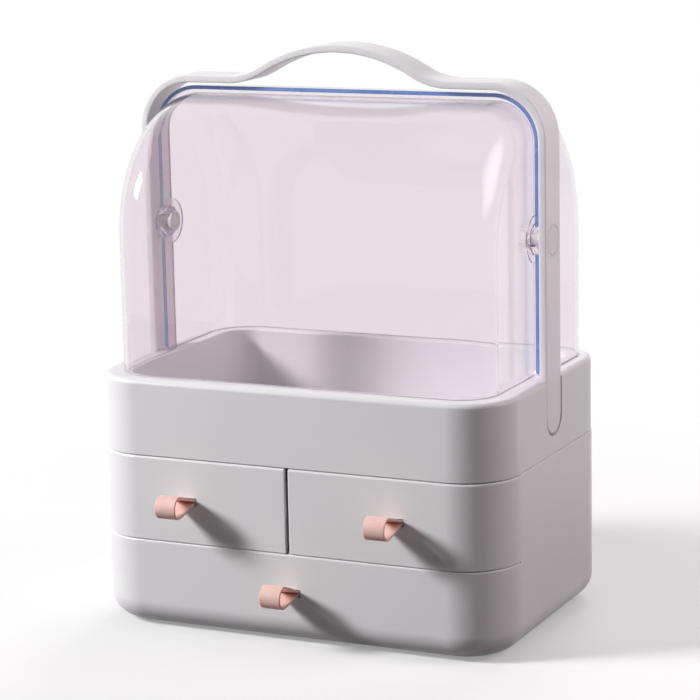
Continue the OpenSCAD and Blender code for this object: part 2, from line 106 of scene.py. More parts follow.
class Half(Enum):
    """The front and back halves of the object, as the sign of Y."""

    FRONT = -1
    BACK = 1


class Join(str, Enum):
    """What is done to a piece with another solid."""

    ADD = "UNION"
    CUT = "DIFFERENCE"


# ---------- the shared places ----------


def middle(node: str) -> list[float]:
    """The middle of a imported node's box, as X, Y and Z."""
    return [(low + high) / 2 for low, high in zip(*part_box(node))]


@dataclass(frozen=True)
class Datum:
    """Places that several sub-assemblies share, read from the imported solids."""

    half_w: float  # half the cabinet's width
    half_d: float  # half its depth
    mid_y: float  # the plane midway between its front and back, which holds the hinge line
    base_z: float  # its underside
    tray_z: float  # the seam under the tray
    rim_z: float  # the top of the tray's rim
    hinge_z: float  # the height of the hinge line
    side_seam_y: float  # where the cabinet's side walls begin

    @classmethod
    def from_frame(cls) -> "Datum":
        """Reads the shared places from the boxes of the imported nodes.

        Returns:
            The shared places.
        """
        cab_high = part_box("cabinet_shell")[1]
        front_low, front_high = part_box("bottom_drawer_front")
        mid_y = middle("carry_handle")[1]
        return cls(
            half_w=cab_high.x,
            half_d=cab_high.y - mid_y,
            mid_y=mid_y,
            base_z=front_low.z,
            tray_z=cab_high.z,
            rim_z=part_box("top_tray")[1].z,
            hinge_z=middle("right_hinge_pin")[2],
            side_seam_y=front_high.y,
        )

    @property
    def front_y(self) -> float:
        """Y of the cabinet's front."""
        return self.mid_y - self.half_d

    @property
    def hinge(self) -> Vector:
        """The middle of the hinge line."""
        return Vector((0, self.mid_y, self.hinge_z))


# ---------- outlines ----------


def arc(x: float, y: float, r: float, first: float, last: float, steps: int) -> tuple[Array, Array]:
    """Makes an arc: centre + r (cos a, sin a).

    Args:
        x, y: its centre.
        r: its radius.
        first, last: the angles a at which it starts and stops, in radians.
        steps: its pieces.

    Returns:
        Its points and its outward normals, one row each.
    """
    a = np.linspace(first, last, steps + 1)
    normal = np.stack([np.cos(a), np.sin(a)], 1)
    return np.array([x, y]) + r * normal, normal


def rounded(corners: Sequence[tuple[float, float, float]], steps: int = 6) -> Array:
    """Makes a closed outline whose corners are rounded.

    A corner of radius r and half angle h is replaced by the arc whose centre lies r / sin(h) from it
    on the bisector, and which starts r / tan(h) before it.

    Args:
        corners: the corner points, each with its radius.
        steps: pieces in each arc.

    Returns:
        The points of the outline, one row each.
    """
    points = np.array([c[:2] for c in corners], float)
    radii = [c[2] for c in corners]
    loop = []
    for here, before, after, r in zip(points, np.roll(points, 1, 0), np.roll(points, -1, 0), radii):
        if r <= 0:
            loop.append(here[None])
            continue
        a = (before - here) / np.linalg.norm(before - here)
        b = (after - here) / np.linalg.norm(after - here)
        half = math.acos(np.clip(a @ b, -1, 1)) / 2
        centre = here + (a + b) / np.linalg.norm(a + b) * r / math.sin(half)
        first, last = here + a * r / math.tan(half) - centre, here + b * r / math.tan(half) - centre
        turn = math.atan2(first[0] * last[1] - first[1] * last[0], first @ last)
        angles = np.linspace(0, turn, steps + 1)[:, None]
        across = np.array([-first[1], first[0]])
        loop.append(centre + first * np.cos(angles) + across * np.sin(angles))
    return np.concatenate(loop)


def oblong(low: Sequence[float], high: Sequence[float], radius: float = 0.0, steps: int = 1) -> Array:
    """The outline of a rectangle between two corners, with its corners rounded by a radius."""
    (x0, y0), (x1, y1) = low, high
    return rounded([(x0, y0, radius), (x1, y0, radius), (x1, y1, radius), (x0, y1, radius)], steps)


def raised(outline: Array, z: float) -> Array:
    """Lays a flat outline at a height."""
    return np.concatenate([outline, np.full((len(outline), 1), z)], 1)


def shrunk(outline: Array, distance: float) -> Array:
    """Moves each point of a closed outline inwards, along the bisector of its two edges.

    Args:
        outline: the points, one row each.
        distance: how far its edges move.

    Returns:
        The smaller outline.
    """
    edge = np.roll(outline, -1, 0) - outline
    edge /= np.maximum(np.linalg.norm(edge, axis=1, keepdims=True), 1e-12)
    out = np.stack([edge[:, 1], -edge[:, 0]], 1)
    x, y = outline.T
    if np.sum(x * np.roll(y, -1) - y * np.roll(x, -1)) < 0:
        out = -out
    both = out + np.roll(out, 1, 0)
    length = np.linalg.norm(both, axis=1, keepdims=True)
    return outline - distance * both / length * np.minimum(2 / length, 2.0)


@dataclass(frozen=True)
class Path:
    """An outline that can be set in: each point is core + normal * (radius - inset)."""

    core: Array  # the centre of the arc, or a point straight inside a straight stretch, for each point
    normal: Array  # the outward direction at each point
    radius: float  # the radius of its corners at no inset

    @classmethod
    def of(cls, parts: Sequence[tuple[float, float, float, float, int]], radius: float) -> "Path":
        """Joins arcs into a path, with straight stretches between them.

        Args:
            parts: for each arc its centre x and y, its first and last angle in degrees, and its
                steps; with no steps it is one point.
            radius: the radius of the arcs.

        Returns:
            The path.
        """
        arcs = [arc(x, y, 0, math.radians(a), math.radians(b), steps) for x, y, a, b, steps in parts]
        core, normal = (np.concatenate(rows) for rows in zip(*arcs))
        return cls(core, normal, radius)

    def at(self, inset: Array) -> Array:
        """Gives the points (path, inset, 2) for an array of insets."""
        reach = (self.radius - inset)[None, :, None]
        return self.core[:, None, :] + self.normal[:, None, :] * reach

    def outer(self, inset: float = 0.0) -> Array:
        """Gives the points (path, 2) at one inset."""
        return self.at(np.array([inset]))[:, 0]

    def turned(self, side: Side) -> "Path":
        """Takes a path from the right to a side."""
        return Path(self.core * side.turn, self.normal * side.turn, self.radius)


@dataclass(frozen=True)
class Plan:
    """A rectangle with round corners, seen from above."""

    half_x: float  # half its width
    half_y: float  # half its depth
    radius: float  # the radius of its corners
    mid_y: float  # the Y of its middle
    steps: int = 28  # pieces in each corner

    def ring(self) -> Path:
        """The whole outline, anticlockwise.

        Returns:
            The closed path.
        """
        x, y = self.half_x - self.radius, self.half_y - self.radius
        parts = [
            (sx * x, self.mid_y + sy * y, 90 * k, 90 * k + 90, self.steps)
            for k, (sx, sy) in enumerate([(1, 1), (-1, 1), (-1, -1), (1, -1)])
        ]
        return Path.of(parts, self.radius)

    def wrap(self, seam_y: float, half: Half, first_x: float | None = None) -> Path:
        """The outline from the right seam, round the front or the back, to the left seam.

        Args:
            seam_y: the Y at which the side stretches end.
            half: the half that it goes round.
            first_x: if given, the path ends at this X on the front instead of at the left seam.

        Returns:
            The open path.
        """
        turn = half.value
        x, y = self.half_x - self.radius, self.mid_y + turn * (self.half_y - self.radius)
        parts = [(x, seam_y, 0, 0, 0), (x, y, 0, 90 * turn, self.steps)]
        if first_x is None:
            parts += [(-x, y, 90 * turn, 180 * turn, self.steps), (-x, seam_y, 180, 180, 0)]
        else:
            parts.append((first_x, y, 90 * turn, 90 * turn, 0))
        return Path.of(parts, self.radius)


# ---------- surfaces ----------


class Surface:
    """Collects numpy patches and makes one closed, smooth-shaded mesh of them."""

    def __init__(self) -> None:
        """Starts with no patches."""
        self.points: list[Array] = []
        self.faces: list[Sequence[int]] = []
        self.count = 0

    def add(self, points: Array) -> "Surface":
        """Adds points, and returns this surface."""
        self.points.append(points)
        self.count += len(points)
        return self

    def grid(self, points: Array, wrap_rows: bool = False, wrap_cols: bool = False) -> "Surface":
        """Adds a grid of quads.

        Args:
            points: positions (rows, columns, 3).
            wrap_rows: join the last row to the first.
            wrap_cols: join the last column to the first.

        Returns:
            This surface.
        """
        rows, cols = points.shape[:2]
        i = np.arange(rows if wrap_rows else rows - 1)[:, None]
        j = np.arange(cols if wrap_cols else cols - 1)[None, :]
        up, right = (i + 1) % rows, (j + 1) % cols
        quads = np.stack([i * cols + j, i * cols + right, up * cols + right, up * cols + j], -1)
        self.faces += (quads.reshape(-1, 4) + self.count).tolist()
        return self.add(points.reshape(-1, 3))

    def cap(self, loop: Array) -> "Surface":
        """Adds one flat face with the points of a loop as its corners."""
        self.faces.append(list(range(self.count, self.count + len(loop))))
        return self.add(loop)

    def tube(self, points: Array) -> "Surface":
        """Adds a grid whose columns close, with its first and last row capped."""
        return self.grid(points, wrap_cols=True).cap(points[0]).cap(points[-1])

    def loft(self, rows: Sequence[tuple[Path, float, float]]) -> "Surface":
        """Adds one skin through closed outlines, each a path at an inset and a height."""
        return self.tube(np.stack([raised(path.outer(inset), z) for path, inset, z in rows]))

    def lathe(self, profile: Array, centre: Vector, steps: int = 64) -> "Surface":
        """Turns a profile about an axis along X.

        The point of profile place k and turn t is centre + (x_k, r_k cos t, r_k sin t). A profile whose
        ends lie on the axis closes there, and any other closes on itself.

        Args:
            profile: rows of place along X and radius.
            centre: a point on the axis.
            steps: pieces in the turn.

        Returns:
            This surface.
        """
        t = np.linspace(0, 2 * math.pi, steps, endpoint=False)[:, None]
        x, r = profile[None, :, 0], profile[None, :, 1]
        points = np.stack([x + centre.x + 0 * t, centre.y + r * np.cos(t), centre.z + r * np.sin(t)], -1)
        return self.grid(points, wrap_rows=True, wrap_cols=bool(profile[:, 1].min() > 0))

    def sweep(
        self, path: Path, profile: Array, end_round: tuple[float, float] = (0.0, 0.0), steps: int = 4
    ) -> "Surface":
        """Carries a closed cross-section along an open path, with its ends capped and rounded.

        The point of path place i and profile place k is core_i + normal_i * (radius - inset_k) at
        height z_k. Towards an end the section shrinks by e (1 - cos t) while it moves on by e sin t.

        Args:
            path: the path in plan.
            profile: the cross-section as rows of inset and height.
            end_round: the radius e of the rounding round the first and the last end.
            steps: rows in that rounding.

        Returns:
            This surface.
        """

        def section(inset_z: Array, core: Array, normal: Array) -> Array:
            """The cross-section at one place."""
            reach = (path.radius - inset_z[:, 0])[:, None]
            return np.concatenate([core + normal * reach, inset_z[:, 1:]], 1)

        turns = np.radians(np.linspace(90, 0, steps + 1)) if any(end_round) else np.zeros(1)
        rows = []
        for end, inner, e in ((0, 1, end_round[0]), (-1, -2, end_round[1])):
            core, normal = path.core[end], path.normal[end]
            along = (core - path.core[inner]) / np.linalg.norm(core - path.core[inner])
            rows.append([
                section(shrunk(profile, e * (1 - math.cos(t))), core + along * e * (math.sin(t) - 1), normal)
                for t in turns
            ])
        middle = [section(profile, c, n) for c, n in zip(path.core[1:-1], path.normal[1:-1])]
        return self.tube(np.stack(rows[0] + middle + rows[1][::-1]))

    def build(self, name: str) -> Piece:
        """Makes the mesh: double points become one, faces turn outwards and shading is smooth.

        Args:
            name: the object's name.

        Returns:
            The new object at the origin, linked to the scene.
        """
        weld = 0.002 * MM
        data = bpy.data.meshes.new(name)
        data.from_pydata(np.concatenate(self.points).tolist(), [], self.faces)
        with edited(data) as mesh:
            bmesh.ops.remove_doubles(mesh, verts=mesh.verts, dist=weld)
            bmesh.ops.dissolve_degenerate(mesh, edges=mesh.edges, dist=weld / 4)
            bmesh.ops.recalc_face_normals(mesh, faces=mesh.faces)
        return smooth(placed(name, data))


def block(low: Sequence[float], high: Sequence[float]) -> Surface:
    """A box from its lowest and highest corners."""
    outline = oblong(low[:2], high[:2])
    return Surface().tube(np.stack([raised(outline, z) for z in (low[2], high[2])]))


# ---------- working on whole pieces ----------


@contextmanager
def edited(data: bpy.types.Mesh) -> Iterator[bmesh.types.BMesh]:
    """Opens a mesh for bmesh's tools, and writes it back.

    Args:
        data: the mesh.

    Returns:
        The open mesh, for a with statement.
    """
    mesh = bmesh.new()
    mesh.from_mesh(data)
    yield mesh
    mesh.to_mesh(data)
    mesh.free()


def per_face(data: bpy.types.Mesh, key: str) -> Array:
    """Reads a vector of each face, which is its normal or its center, as rows."""
    values = np.empty(len(data.polygons) * 3)
    data.polygons.foreach_get(key, values)
    return values.reshape(-1, 3)


def placed(name: str, data: bpy.types.ID) -> Piece:
    """Makes an object of some data and links it to the scene."""
    obj = bpy.data.objects.new(name, data)
    bpy.context.scene.collection.objects.link(obj)
    return obj


def smooth(obj: Piece, angle: float = 32.0) -> Piece:
    """Shades a piece smooth everywhere but across its sharp edges.

    Args:
        obj: the piece.
        angle: edges sharper than this stay sharp, in degrees.

    Returns:
        The piece.
    """
    mesh = obj.data
    mesh.polygons.foreach_set("use_smooth", np.ones(len(mesh.polygons), bool))
    mesh.set_sharp_from_angle(angle=math.radians(angle))
    mesh.update()
    return obj


def changed(obj: Piece, kind: str, **values: Any) -> Piece:
    """Applies a modifier to a piece.

    Args:
        obj: the piece.
        kind: the modifier's type.
        values: its settings.

    Returns:
        The piece, with its new mesh.
    """
    change = obj.modifiers.new(kind, kind)
    for key, value in values.items():
        setattr(change, key, value)
    bpy.context.view_layer.update()
    mesh = bpy.data.meshes.new_from_object(obj.evaluated_get(bpy.context.evaluated_depsgraph_get()))
    obj.modifiers.clear()
    old, obj.data = obj.data, mesh
    bpy.data.meshes.remove(old)
    return obj


def combine(obj: Piece, tool: Piece, join: Join) -> None:
    """Joins a tool's solid to a piece or cuts it away, and removes the tool.

    Args:
        obj: the piece.
        tool: the other solid.
        join: whether it is joined or cut away.
    """
    changed(obj, "BOOLEAN", object=tool, operation=join.value, solver="MANIFOLD")
    bpy.data.objects.remove(tool)
    smooth(obj)


def eased(obj: Piece, width: float, angle: float = 40.0) -> Piece:
    """Rounds every edge of a piece sharper than an angle.

    Args:
        obj: the piece.
        width: the radius of the rounding.
        angle: the angle, in degrees.

    Returns:
        The piece.
    """
    return changed(
        obj, "BEVEL", width=width, segments=2, limit_method="ANGLE", angle_limit=math.radians(angle),
        harden_normals=True, use_clamp_overlap=True,
    )


def settle(obj: Piece, body: Body, finish: "Finish", *nodes: str) -> None:
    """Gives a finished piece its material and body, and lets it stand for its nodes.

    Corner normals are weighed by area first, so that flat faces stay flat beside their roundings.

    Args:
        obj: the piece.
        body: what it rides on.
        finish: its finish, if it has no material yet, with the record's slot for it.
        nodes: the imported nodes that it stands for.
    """
    if not obj.data.materials:
        obj.data.materials.append(finish.material)
    changed(obj, "WEIGHTED_NORMAL", keep_sharp=True, weight=50)
    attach(obj, body.value)
    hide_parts(*nodes)
    LOG.info("%s: %d faces on %s", obj.name, len(obj.data.polygons), body.value)


def redress(node: str, ease: float, body: Body, finish: "Finish") -> None:
    """Settles a smooth-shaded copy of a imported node's mesh with rounded edges.

    Args:
        node: the node's name.
        ease: the radius of the rounding.
        body: what it rides on.
        finish: its finish.
    """
    obj = placed(node + "_skin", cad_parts[node].data.copy())
    obj.data.materials.clear()
    with edited(obj.data) as mesh:
        bmesh.ops.remove_doubles(mesh, verts=mesh.verts, dist=0.004 * MM)
        bmesh.ops.dissolve_limit(mesh, angle_limit=math.radians(0.3), verts=mesh.verts, edges=mesh.edges)
    settle(eased(smooth(obj), ease), body, finish, node)


# ---------- finishes ----------


class NodeSheet:
    """The node tree of a material, lamp or world, with short calls for the nodes used here."""

    def __init__(self, owner: bpy.types.ID, output: str = "ShaderNodeOutputMaterial") -> None:
        """Empties the owner's tree but for an output.

        Args:
            owner: the material, lamp or world.
            output: the type of its output node.
        """
        owner.use_nodes = True
        self.owner = owner
        self.tree = owner.node_tree
        self.tree.nodes.clear()
        self.output = self.node(output)

    def node(self, kind: str, **values: Any) -> Node:
        """Adds a node.

        Args:
            kind: its type.
            values: its properties and, by name, the values of its inputs.

        Returns:
            The node.
        """
        made = self.tree.nodes.new(kind)
        for key, value in values.items():
            if hasattr(made, key):
                setattr(made, key, value)
            else:
                made.inputs[key.replace("_", " ")].default_value = value
        return made

    def link(self, source: Socket, target: Socket) -> None:
        """Joins two sockets."""
        self.tree.links.new(source, target)

    def finish(self, shader: Node) -> bpy.types.ID:
        """Joins the last shader to the output, and gives the owner."""
        self.link(shader.outputs[0], self.output.inputs["Surface"])
        return self.owner

    def math(self, kind: str, a: Socket | float, b: Socket | float) -> Socket:
        """Works out one step of arithmetic.

        Args:
            kind: the operation.
            a, b: its two values, as sockets or numbers.

        Returns:
            The socket of the outcome.
        """
        node = self.node("ShaderNodeMath", operation=kind)
        for socket, value in zip(node.inputs, (a, b)):
            if isinstance(value, Socket):
                self.link(value, socket)
            else:
                socket.default_value = value
        return node.outputs[0]

    def mix(self, share: Socket, a: Node, b: Node) -> Node:
        """Mixes two shaders.

        Args:
            share: the share of the second.
            a, b: the shaders.

        Returns:
            The mixing node.
        """
        node = self.node("ShaderNodeMixShader")
        for source, socket in zip((share, a.outputs[0], b.outputs[0]), node.inputs):
            self.link(source, socket)
        return node

    def texture(self, kind: str, output: str, **values: Any) -> Socket:
        """A texture on Object coordinates.

        Args:
            kind: the node's type.
            output: which of its outputs is used.
            values: its values.

        Returns:
            The socket of that output.
        """
        node = self.node(kind, **values)
        self.link(self.node("ShaderNodeTexCoord").outputs["Object"], node.inputs["Vector"])
        return node.outputs[output]

    def noise(self, scale: float, detail: float = 2.0) -> Socket:
        """Noise on Object coordinates, as its socket."""
        return self.texture("ShaderNodeTexNoise", "Fac", Scale=scale, Detail=detail)

    def spread(self, source: Socket, low: float, high: float) -> Socket:
        """Maps 0.3..0.7 of a value, which is where most of a noise lies, to low..high.

        Args:
            source: the value's socket.
            low, high: the new span.

        Returns:
            The socket of the mapped value.
        """
        node = self.node("ShaderNodeMapRange", From_Min=0.3, From_Max=0.7, To_Min=low, To_Max=high)
        self.link(source, node.inputs["Value"])
        return node.outputs["Result"]

    def blend(self, share: Socket, a: Colour, b: Colour) -> Socket:
        """Mixes two colours.

        Args:
            share: the share of the second.
            a, b: the colours.

        Returns:
            The socket of the mixed colour.
        """
        node = self.node("ShaderNodeMix", data_type="RGBA")
        factor, first, second = (node.inputs[k] for k in (0, 6, 7))
        first.default_value = (*a, 1)
        second.default_value = (*b, 1)
        self.link(share, factor)
        return node.outputs[2]

    def dressed(
        self,
        colours: tuple[Colour, Colour],
        clouds: Socket,
        wear: Socket,
        span: tuple[float, float],
        **values: Any,
    ) -> Node:
        """A principled shader with a clouded colour and a roughness that wanders.

        Args:
            colours: the two colours.
            clouds: the noise that mixes them.
            wear: the noise that moves the roughness.
            span: the lowest and the highest roughness.
            values: the shader's other values.

        Returns:
            The shader.
        """
        shader = self.node("ShaderNodeBsdfPrincipled", **values)
        self.link(self.blend(self.spread(clouds, 0, 1), *colours), shader.inputs["Base Color"])
        self.link(self.spread(wear, *span), shader.inputs["Roughness"])
        return shader

    def bump(self, shader: Node, height: Socket, strength: float, distance: float) -> None:
        """Bumps a shader's surface.

        Args:
            shader: the shader.
            height: the socket of the bumps' height.
            strength: how strong they are.
            distance: how high they are.
        """
        node = self.node("ShaderNodeBump", Strength=strength, Distance=distance)
        self.link(height, node.inputs["Height"])
        self.link(node.outputs["Normal"], shader.inputs["Normal"])


def linear(*srgb: int) -> Colour:
    """A colour of 0 to 255 sRGB steps as linear numbers."""
    c = np.array(srgb, float) / 255
    return tuple(np.where(c <= 0.04045, c / 12.92, ((c + 0.055) / 1.055) ** 2.4).tolist())


@dataclass(frozen=True)
class Finish:
    """A finish of some pieces. Each kind of finish is a class of its own below."""

    name: str  # the material's name
    slot: Slot  # the record's slot for it
    colour: Colour  # the colour, linear

    @cached_property
    def material(self) -> Material:
        """The material, built when it is first needed."""
        sheet = NodeSheet(bpy.data.materials.new(self.name))
        return sheet.finish(self.shader(sheet))

    def shader(self, sheet: NodeSheet) -> Node:
        """Adds the finish's nodes to a sheet, and returns the last shader."""
        raise NotImplementedError


@dataclass(frozen=True)
class MouldedPlastic(Finish):
    """Satin moulded plastic: an even colour with a faint cloud, and the fine grain of the mould."""

    cloud: float = 0.02  # how much darker the faint clouds are, as a share
    roughness: float = 0.34  # the mean roughness
    coat: float = 0.15  # weight of the thin clear sheen on top
    grain: float = 0.12  # strength of the mould's grain
    milky: float = 0.06  # share of the light that wanders inside the plastic
    depth: float = 1.5 * MM  # how deep it wanders

    def shader(self, sheet: NodeSheet) -> Node:
        """Adds the finish's nodes.

        Args:
            sheet: the material's node tree.

        Returns:
            The last shader.
        """
        shader = sheet.dressed(
            (self.colour, tuple(c * (1 - self.cloud) for c in self.colour)), sheet.noise(14, 3),
            sheet.noise(60), (self.roughness - 0.04, self.roughness + 0.05),
            IOR=1.5, Specular_IOR_Level=0.35, Coat_Weight=self.coat, Coat_Roughness=0.18,
            Subsurface_Weight=self.milky, Subsurface_Radius=(1.0, 0.95, 0.92), Subsurface_Scale=self.depth,
        )
        sheet.bump(shader, sheet.noise(2600, 1), self.grain, 0.02 * MM)
        return shader


@dataclass(frozen=True)
class ClearPlastic(Finish):
    """Polished clear plastic with faint flow marks. Its colour is what passes one wall."""

    roughness: float = 0.02  # the roughness of the polish
    shade: Colour = (0.975, 0.965, 0.975)  # what lamps pass through each surface, linear
    warmth: Colour = (1.01, 0.985, 0.99)  # what the clouds do to the colour
    flow: float = 0.05  # strength of the flow marks

    def shader(self, sheet: NodeSheet) -> Node:
        """Adds nodes that refract, with a plain tint for rays from lamps and dull pieces.

        Args:
            sheet: the material's node tree.

        Returns:
            The last shader.
        """
        warm = tuple(min(1.0, c * f) for c, f in zip(self.colour, self.warmth))
        glass = sheet.dressed(
            (self.colour, warm), sheet.noise(9, 1), sheet.noise(40),
            (self.roughness * 0.5, self.roughness * 1.5), Transmission_Weight=1, IOR=1.49,
        )
        sheet.bump(glass, sheet.noise(22, 0), self.flow, 1.5 * MM)
        open_air = sheet.node("ShaderNodeBsdfTransparent", Color=(*self.shade, 1))
        rays = sheet.node("ShaderNodeLightPath").outputs
        through = sheet.math("MAXIMUM", rays["Is Shadow Ray"], rays["Is Diffuse Ray"])
        return sheet.mix(through, glass, open_air)


@dataclass(frozen=True)
class CutEdge(Finish):
    """The cut edge of a clear sheet in one colour, lit up by a painted glow (emission) in that colour."""

    deep: Colour  # the colour of the streaks along it, linear
    painted_glow: float = 0.0  # strength of the painted glow, an emission in its colour that stands in for light piped along the sheet
    roughness: float = 0.22  # the mean roughness

    def shader(self, sheet: NodeSheet) -> Node:
        """Adds the finish's nodes.

        Args:
            sheet: the material's node tree.

        Returns:
            The last shader.
        """
        return sheet.dressed(
            (self.colour, self.deep), sheet.noise(45, 2), sheet.noise(90),
            (self.roughness - 0.08, self.roughness + 0.1), IOR=1.49, Transmission_Weight=0.12,
            # painted glow: the edge emits its own colour so that its shaded side is not dark
            Emission_Color=(*self.colour, 1), Emission_Strength=self.painted_glow,
        )


@dataclass(frozen=True)
class SoftStrap(Finish):
    """Smooth coated strap: a dull soft colour with a fine pebble and slight blotches."""

    deep: Colour  # the colour of the blotches, linear
    roughness: float = 0.40  # the mean roughness

    def shader(self, sheet: NodeSheet) -> Node:
        """Adds the finish's nodes.

        Args:
            sheet: the material's node tree.

        Returns:
            The last shader.
        """
        shader = sheet.dressed(
            (self.colour, self.deep), sheet.noise(220, 3), sheet.noise(500),
            (self.roughness - 0.06, self.roughness + 0.08), Specular_IOR_Level=0.15,
            Subsurface_Weight=0.4, Subsurface_Radius=(1.0, 0.3, 0.22), Subsurface_Scale=2.5 * MM,
        )
        pebble = sheet.texture("ShaderNodeTexVoronoi", "Distance", Scale=1900)
        sheet.bump(shader, pebble, 0.25, 0.03 * MM)
        return shader


@dataclass(frozen=True)
class Finishes:
    """The finishes of the whole object."""

    casing: Finish = MouldedPlastic("satin_white_plastic", Slot.CASING, linear(230, 229, 231))
    handle: Finish = MouldedPlastic(
        "milky_white_plastic", Slot.CASING, linear(234, 232, 234), milky=0.6, depth=6 * MM
    )
    inner: Finish = MouldedPlastic(
        "plain_white_plastic", Slot.INNER, linear(222, 221, 223), roughness=0.45, coat=0.0
    )
    clear: Finish = ClearPlastic("clear_plastic", Slot.CLEAR, (0.895, 0.85, 0.885))
    # the blue edge carries a painted glow of strength 0.18, an emission standing in for light piped along
    # the sheet
    edge: Finish = CutEdge("blue_cut_edge", Slot.CLEAR, linear(118, 148, 214), linear(94, 122, 196), 0.18)
    frosted: Finish = CutEdge("frosted_cut_edge", Slot.CLEAR, linear(226, 221, 232), linear(212, 207, 222))
    strap: Finish = SoftStrap("pink_strap", Slot.STRAP, linear(243, 210, 201), linear(239, 201, 191))
    rubber: Finish = MouldedPlastic(
        "grey_rubber", Slot.RUBBER, linear(120, 118, 118), cloud=0.06, roughness=0.75, coat=0.0, grain=0.5
    )


# ---------- the cabinet ----------


@dataclass(frozen=True)
class Cabinet:
    """The outer casing with its shelf, divider and feet."""

    datum: Datum
    finishes: Finishes
    corner_r: float = 35 * MM  # radius of the upright corners
    base_r: float = 16.3 * MM  # radius of the rounding along the bottom
    base_lip: float = 1.1 * MM  # how far the bottom runs in past that rounding
    wall: float = 2.5 * MM  # thickness of the walls
    groove_h: float = 0.6 * MM  # height of the shadow groove under the tray
    groove_d: float = 1.0 * MM  # depth of that groove
    ledge_w: float = 3.0 * MM  # width of the ledge under the shelf
    ledge_t: float = 2.0 * MM  # thickness of that ledge
    ledge_r: float = 0.3 * MM  # rounding of its edges
    side_gap: float = 0.8 * MM  # gap between the base and the curl of the lower drawer front
    base_sink: float = 0.05 * MM  # how far the base's plate lies inside the walls' lower edge
    edge_r: float = 0.45 * MM  # rounding of plain edges

    @property
    def plan(self) -> Plan:
        """The outside of the cabinet from above."""
        return Plan(self.datum.half_w, self.datum.half_d, self.corner_r, self.datum.mid_y)

    def shell(self) -> None:
        """Builds the sides, back, base and ledge: two sections carried round the back, and a plate."""
        d, wall, edge = self.datum, self.wall, self.edge_r
        lip, floor_z = d.tray_z - self.groove_h, d.base_z + wall
        base_end = self.base_r + self.base_lip
        walls = rounded([
            (0, lip, edge),
            (self.groove_d, lip, 0),
            (self.groove_d, d.tray_z, 0),
            (wall, d.tray_z, 0),
            (wall, floor_z, self.base_r - wall),
            (base_end, floor_z, 0),
            (base_end, d.base_z, 0),
            (0, d.base_z, self.base_r),
        ], steps=14)
        shelf_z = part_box("drawer_shelf")[0].z
        ledge_in, ledge_z = wall + self.ledge_w, shelf_z - self.ledge_t
        ledge = rounded([
            (wall / 2, shelf_z, 0),
            (ledge_in, shelf_z, self.ledge_r),
            (ledge_in, ledge_z, self.ledge_r),
            (wall / 2, ledge_z, 0),
        ], steps=2)
        path = self.plan.wrap(max(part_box("cabinet_shell")[0].y, d.side_seam_y + self.groove_h), Half.BACK)
        ring, inset = self.plan.ring(), self.base_r + self.side_gap
        surface = Surface().sweep(path, walls, (edge, edge)).sweep(path, ledge)
        surface.loft([(ring, inset, d.base_z + self.base_sink), (ring, inset, floor_z - self.base_sink)])
        settle(surface.build("cabinet_casing"), Body.CABINET, self.finishes.casing, "cabinet_shell")

    def build(self) -> None:
        """Builds all pieces of the cabinet."""
        self.shell()
        redress("drawer_shelf", 0.3 * MM, Body.CABINET, self.finishes.inner)
        redress("centre_divider", 0.4 * MM, Body.CABINET, self.finishes.inner)
        redress("rubber_feet", 0.25 * MM, Body.CABINET, self.finishes.rubber)


# ---------- the drawers ----------


@dataclass(frozen=True)
class Drawer:
    """One drawer: a wrapped front panel, its box, the strap pull and the clamp behind."""

    body: Body  # the body that the drawer is
    cabinet: Cabinet  # the cabinet that it slides into
    finishes: Finishes
    lift: float = 3.0  # angle by which its pull points up, in degrees
    lip_r: float = 1.7 * MM  # rounding of the front's top edge
    edge_r: float = 0.4 * MM  # rounding of its other edges
    middle_r: float = 1.0 * MM  # rounding of the upright edges where the two upper fronts meet
    shut: float = 0.2 * MM  # how far the front reaches into the seams over and under it
    slot_h: float = 5.0 * MM  # height of the slot for the strap
    slot_over: float = 0.8 * MM  # how much longer the slot is than the strap is wide, at each end

    def front(self) -> None:
        """Builds the front panel, a section carried round the cabinet's front, with its slot."""
        node = self.body.own("drawer_front")
        low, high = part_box(node)
        c, d, wall, edge = self.cabinet, self.cabinet.datum, self.cabinet.wall, self.edge_r
        z0, z1 = low.z, high.z + self.shut
        top = [(0, z1, self.lip_r), (wall, z1, edge)]
        if self.body is Body.BOTTOM:
            path, last_r, steps = c.plan.wrap(d.side_seam_y, Half.FRONT), edge, 14
            under = [
                (wall, z0 + wall, c.base_r - wall),
                (c.base_r, z0 + wall, edge),
                (c.base_r, z0, edge),
                (0, z0, c.base_r),
            ]
        else:
            middle_x = min(abs(low.x), abs(high.x))
            path, last_r, steps = c.plan.wrap(d.side_seam_y, Half.FRONT, middle_x), self.middle_r, 6
            under = [(wall, z0 - self.shut, edge), (0, z0 - self.shut, edge)]
        if self.body is Body.LEFT:
            path = path.turned(Side.LEFT)
        obj = Surface().sweep(path, rounded(top + under, steps), (edge, last_r)).build(node + "_skin")
        strap_low, strap_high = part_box(self.body.own("pull"))
        mid_z = middle(self.body.own("pull_clamp"))[2]
        slot = block(
            (strap_low.x - self.slot_over, d.front_y - wall, mid_z - self.slot_h / 2),
            (strap_high.x + self.slot_over, d.front_y + 2 * wall, mid_z + self.slot_h / 2),
        )
        combine(obj, slot.build("slot_tool"), Join.CUT)
        obj.data.materials.clear()
        settle(obj, self.body, self.finishes.casing, node)

    def build(self) -> None:
        """Builds all pieces of the drawer."""
        self.front()
        redress(self.body.own("drawer_box"), 0.35 * MM, self.body, self.finishes.inner)
        redress(self.body.own("pull_clamp"), 0.3 * MM, self.body, self.finishes.inner)
        Pull(self.body, self.cabinet.datum, self.finishes, self.lift).build()


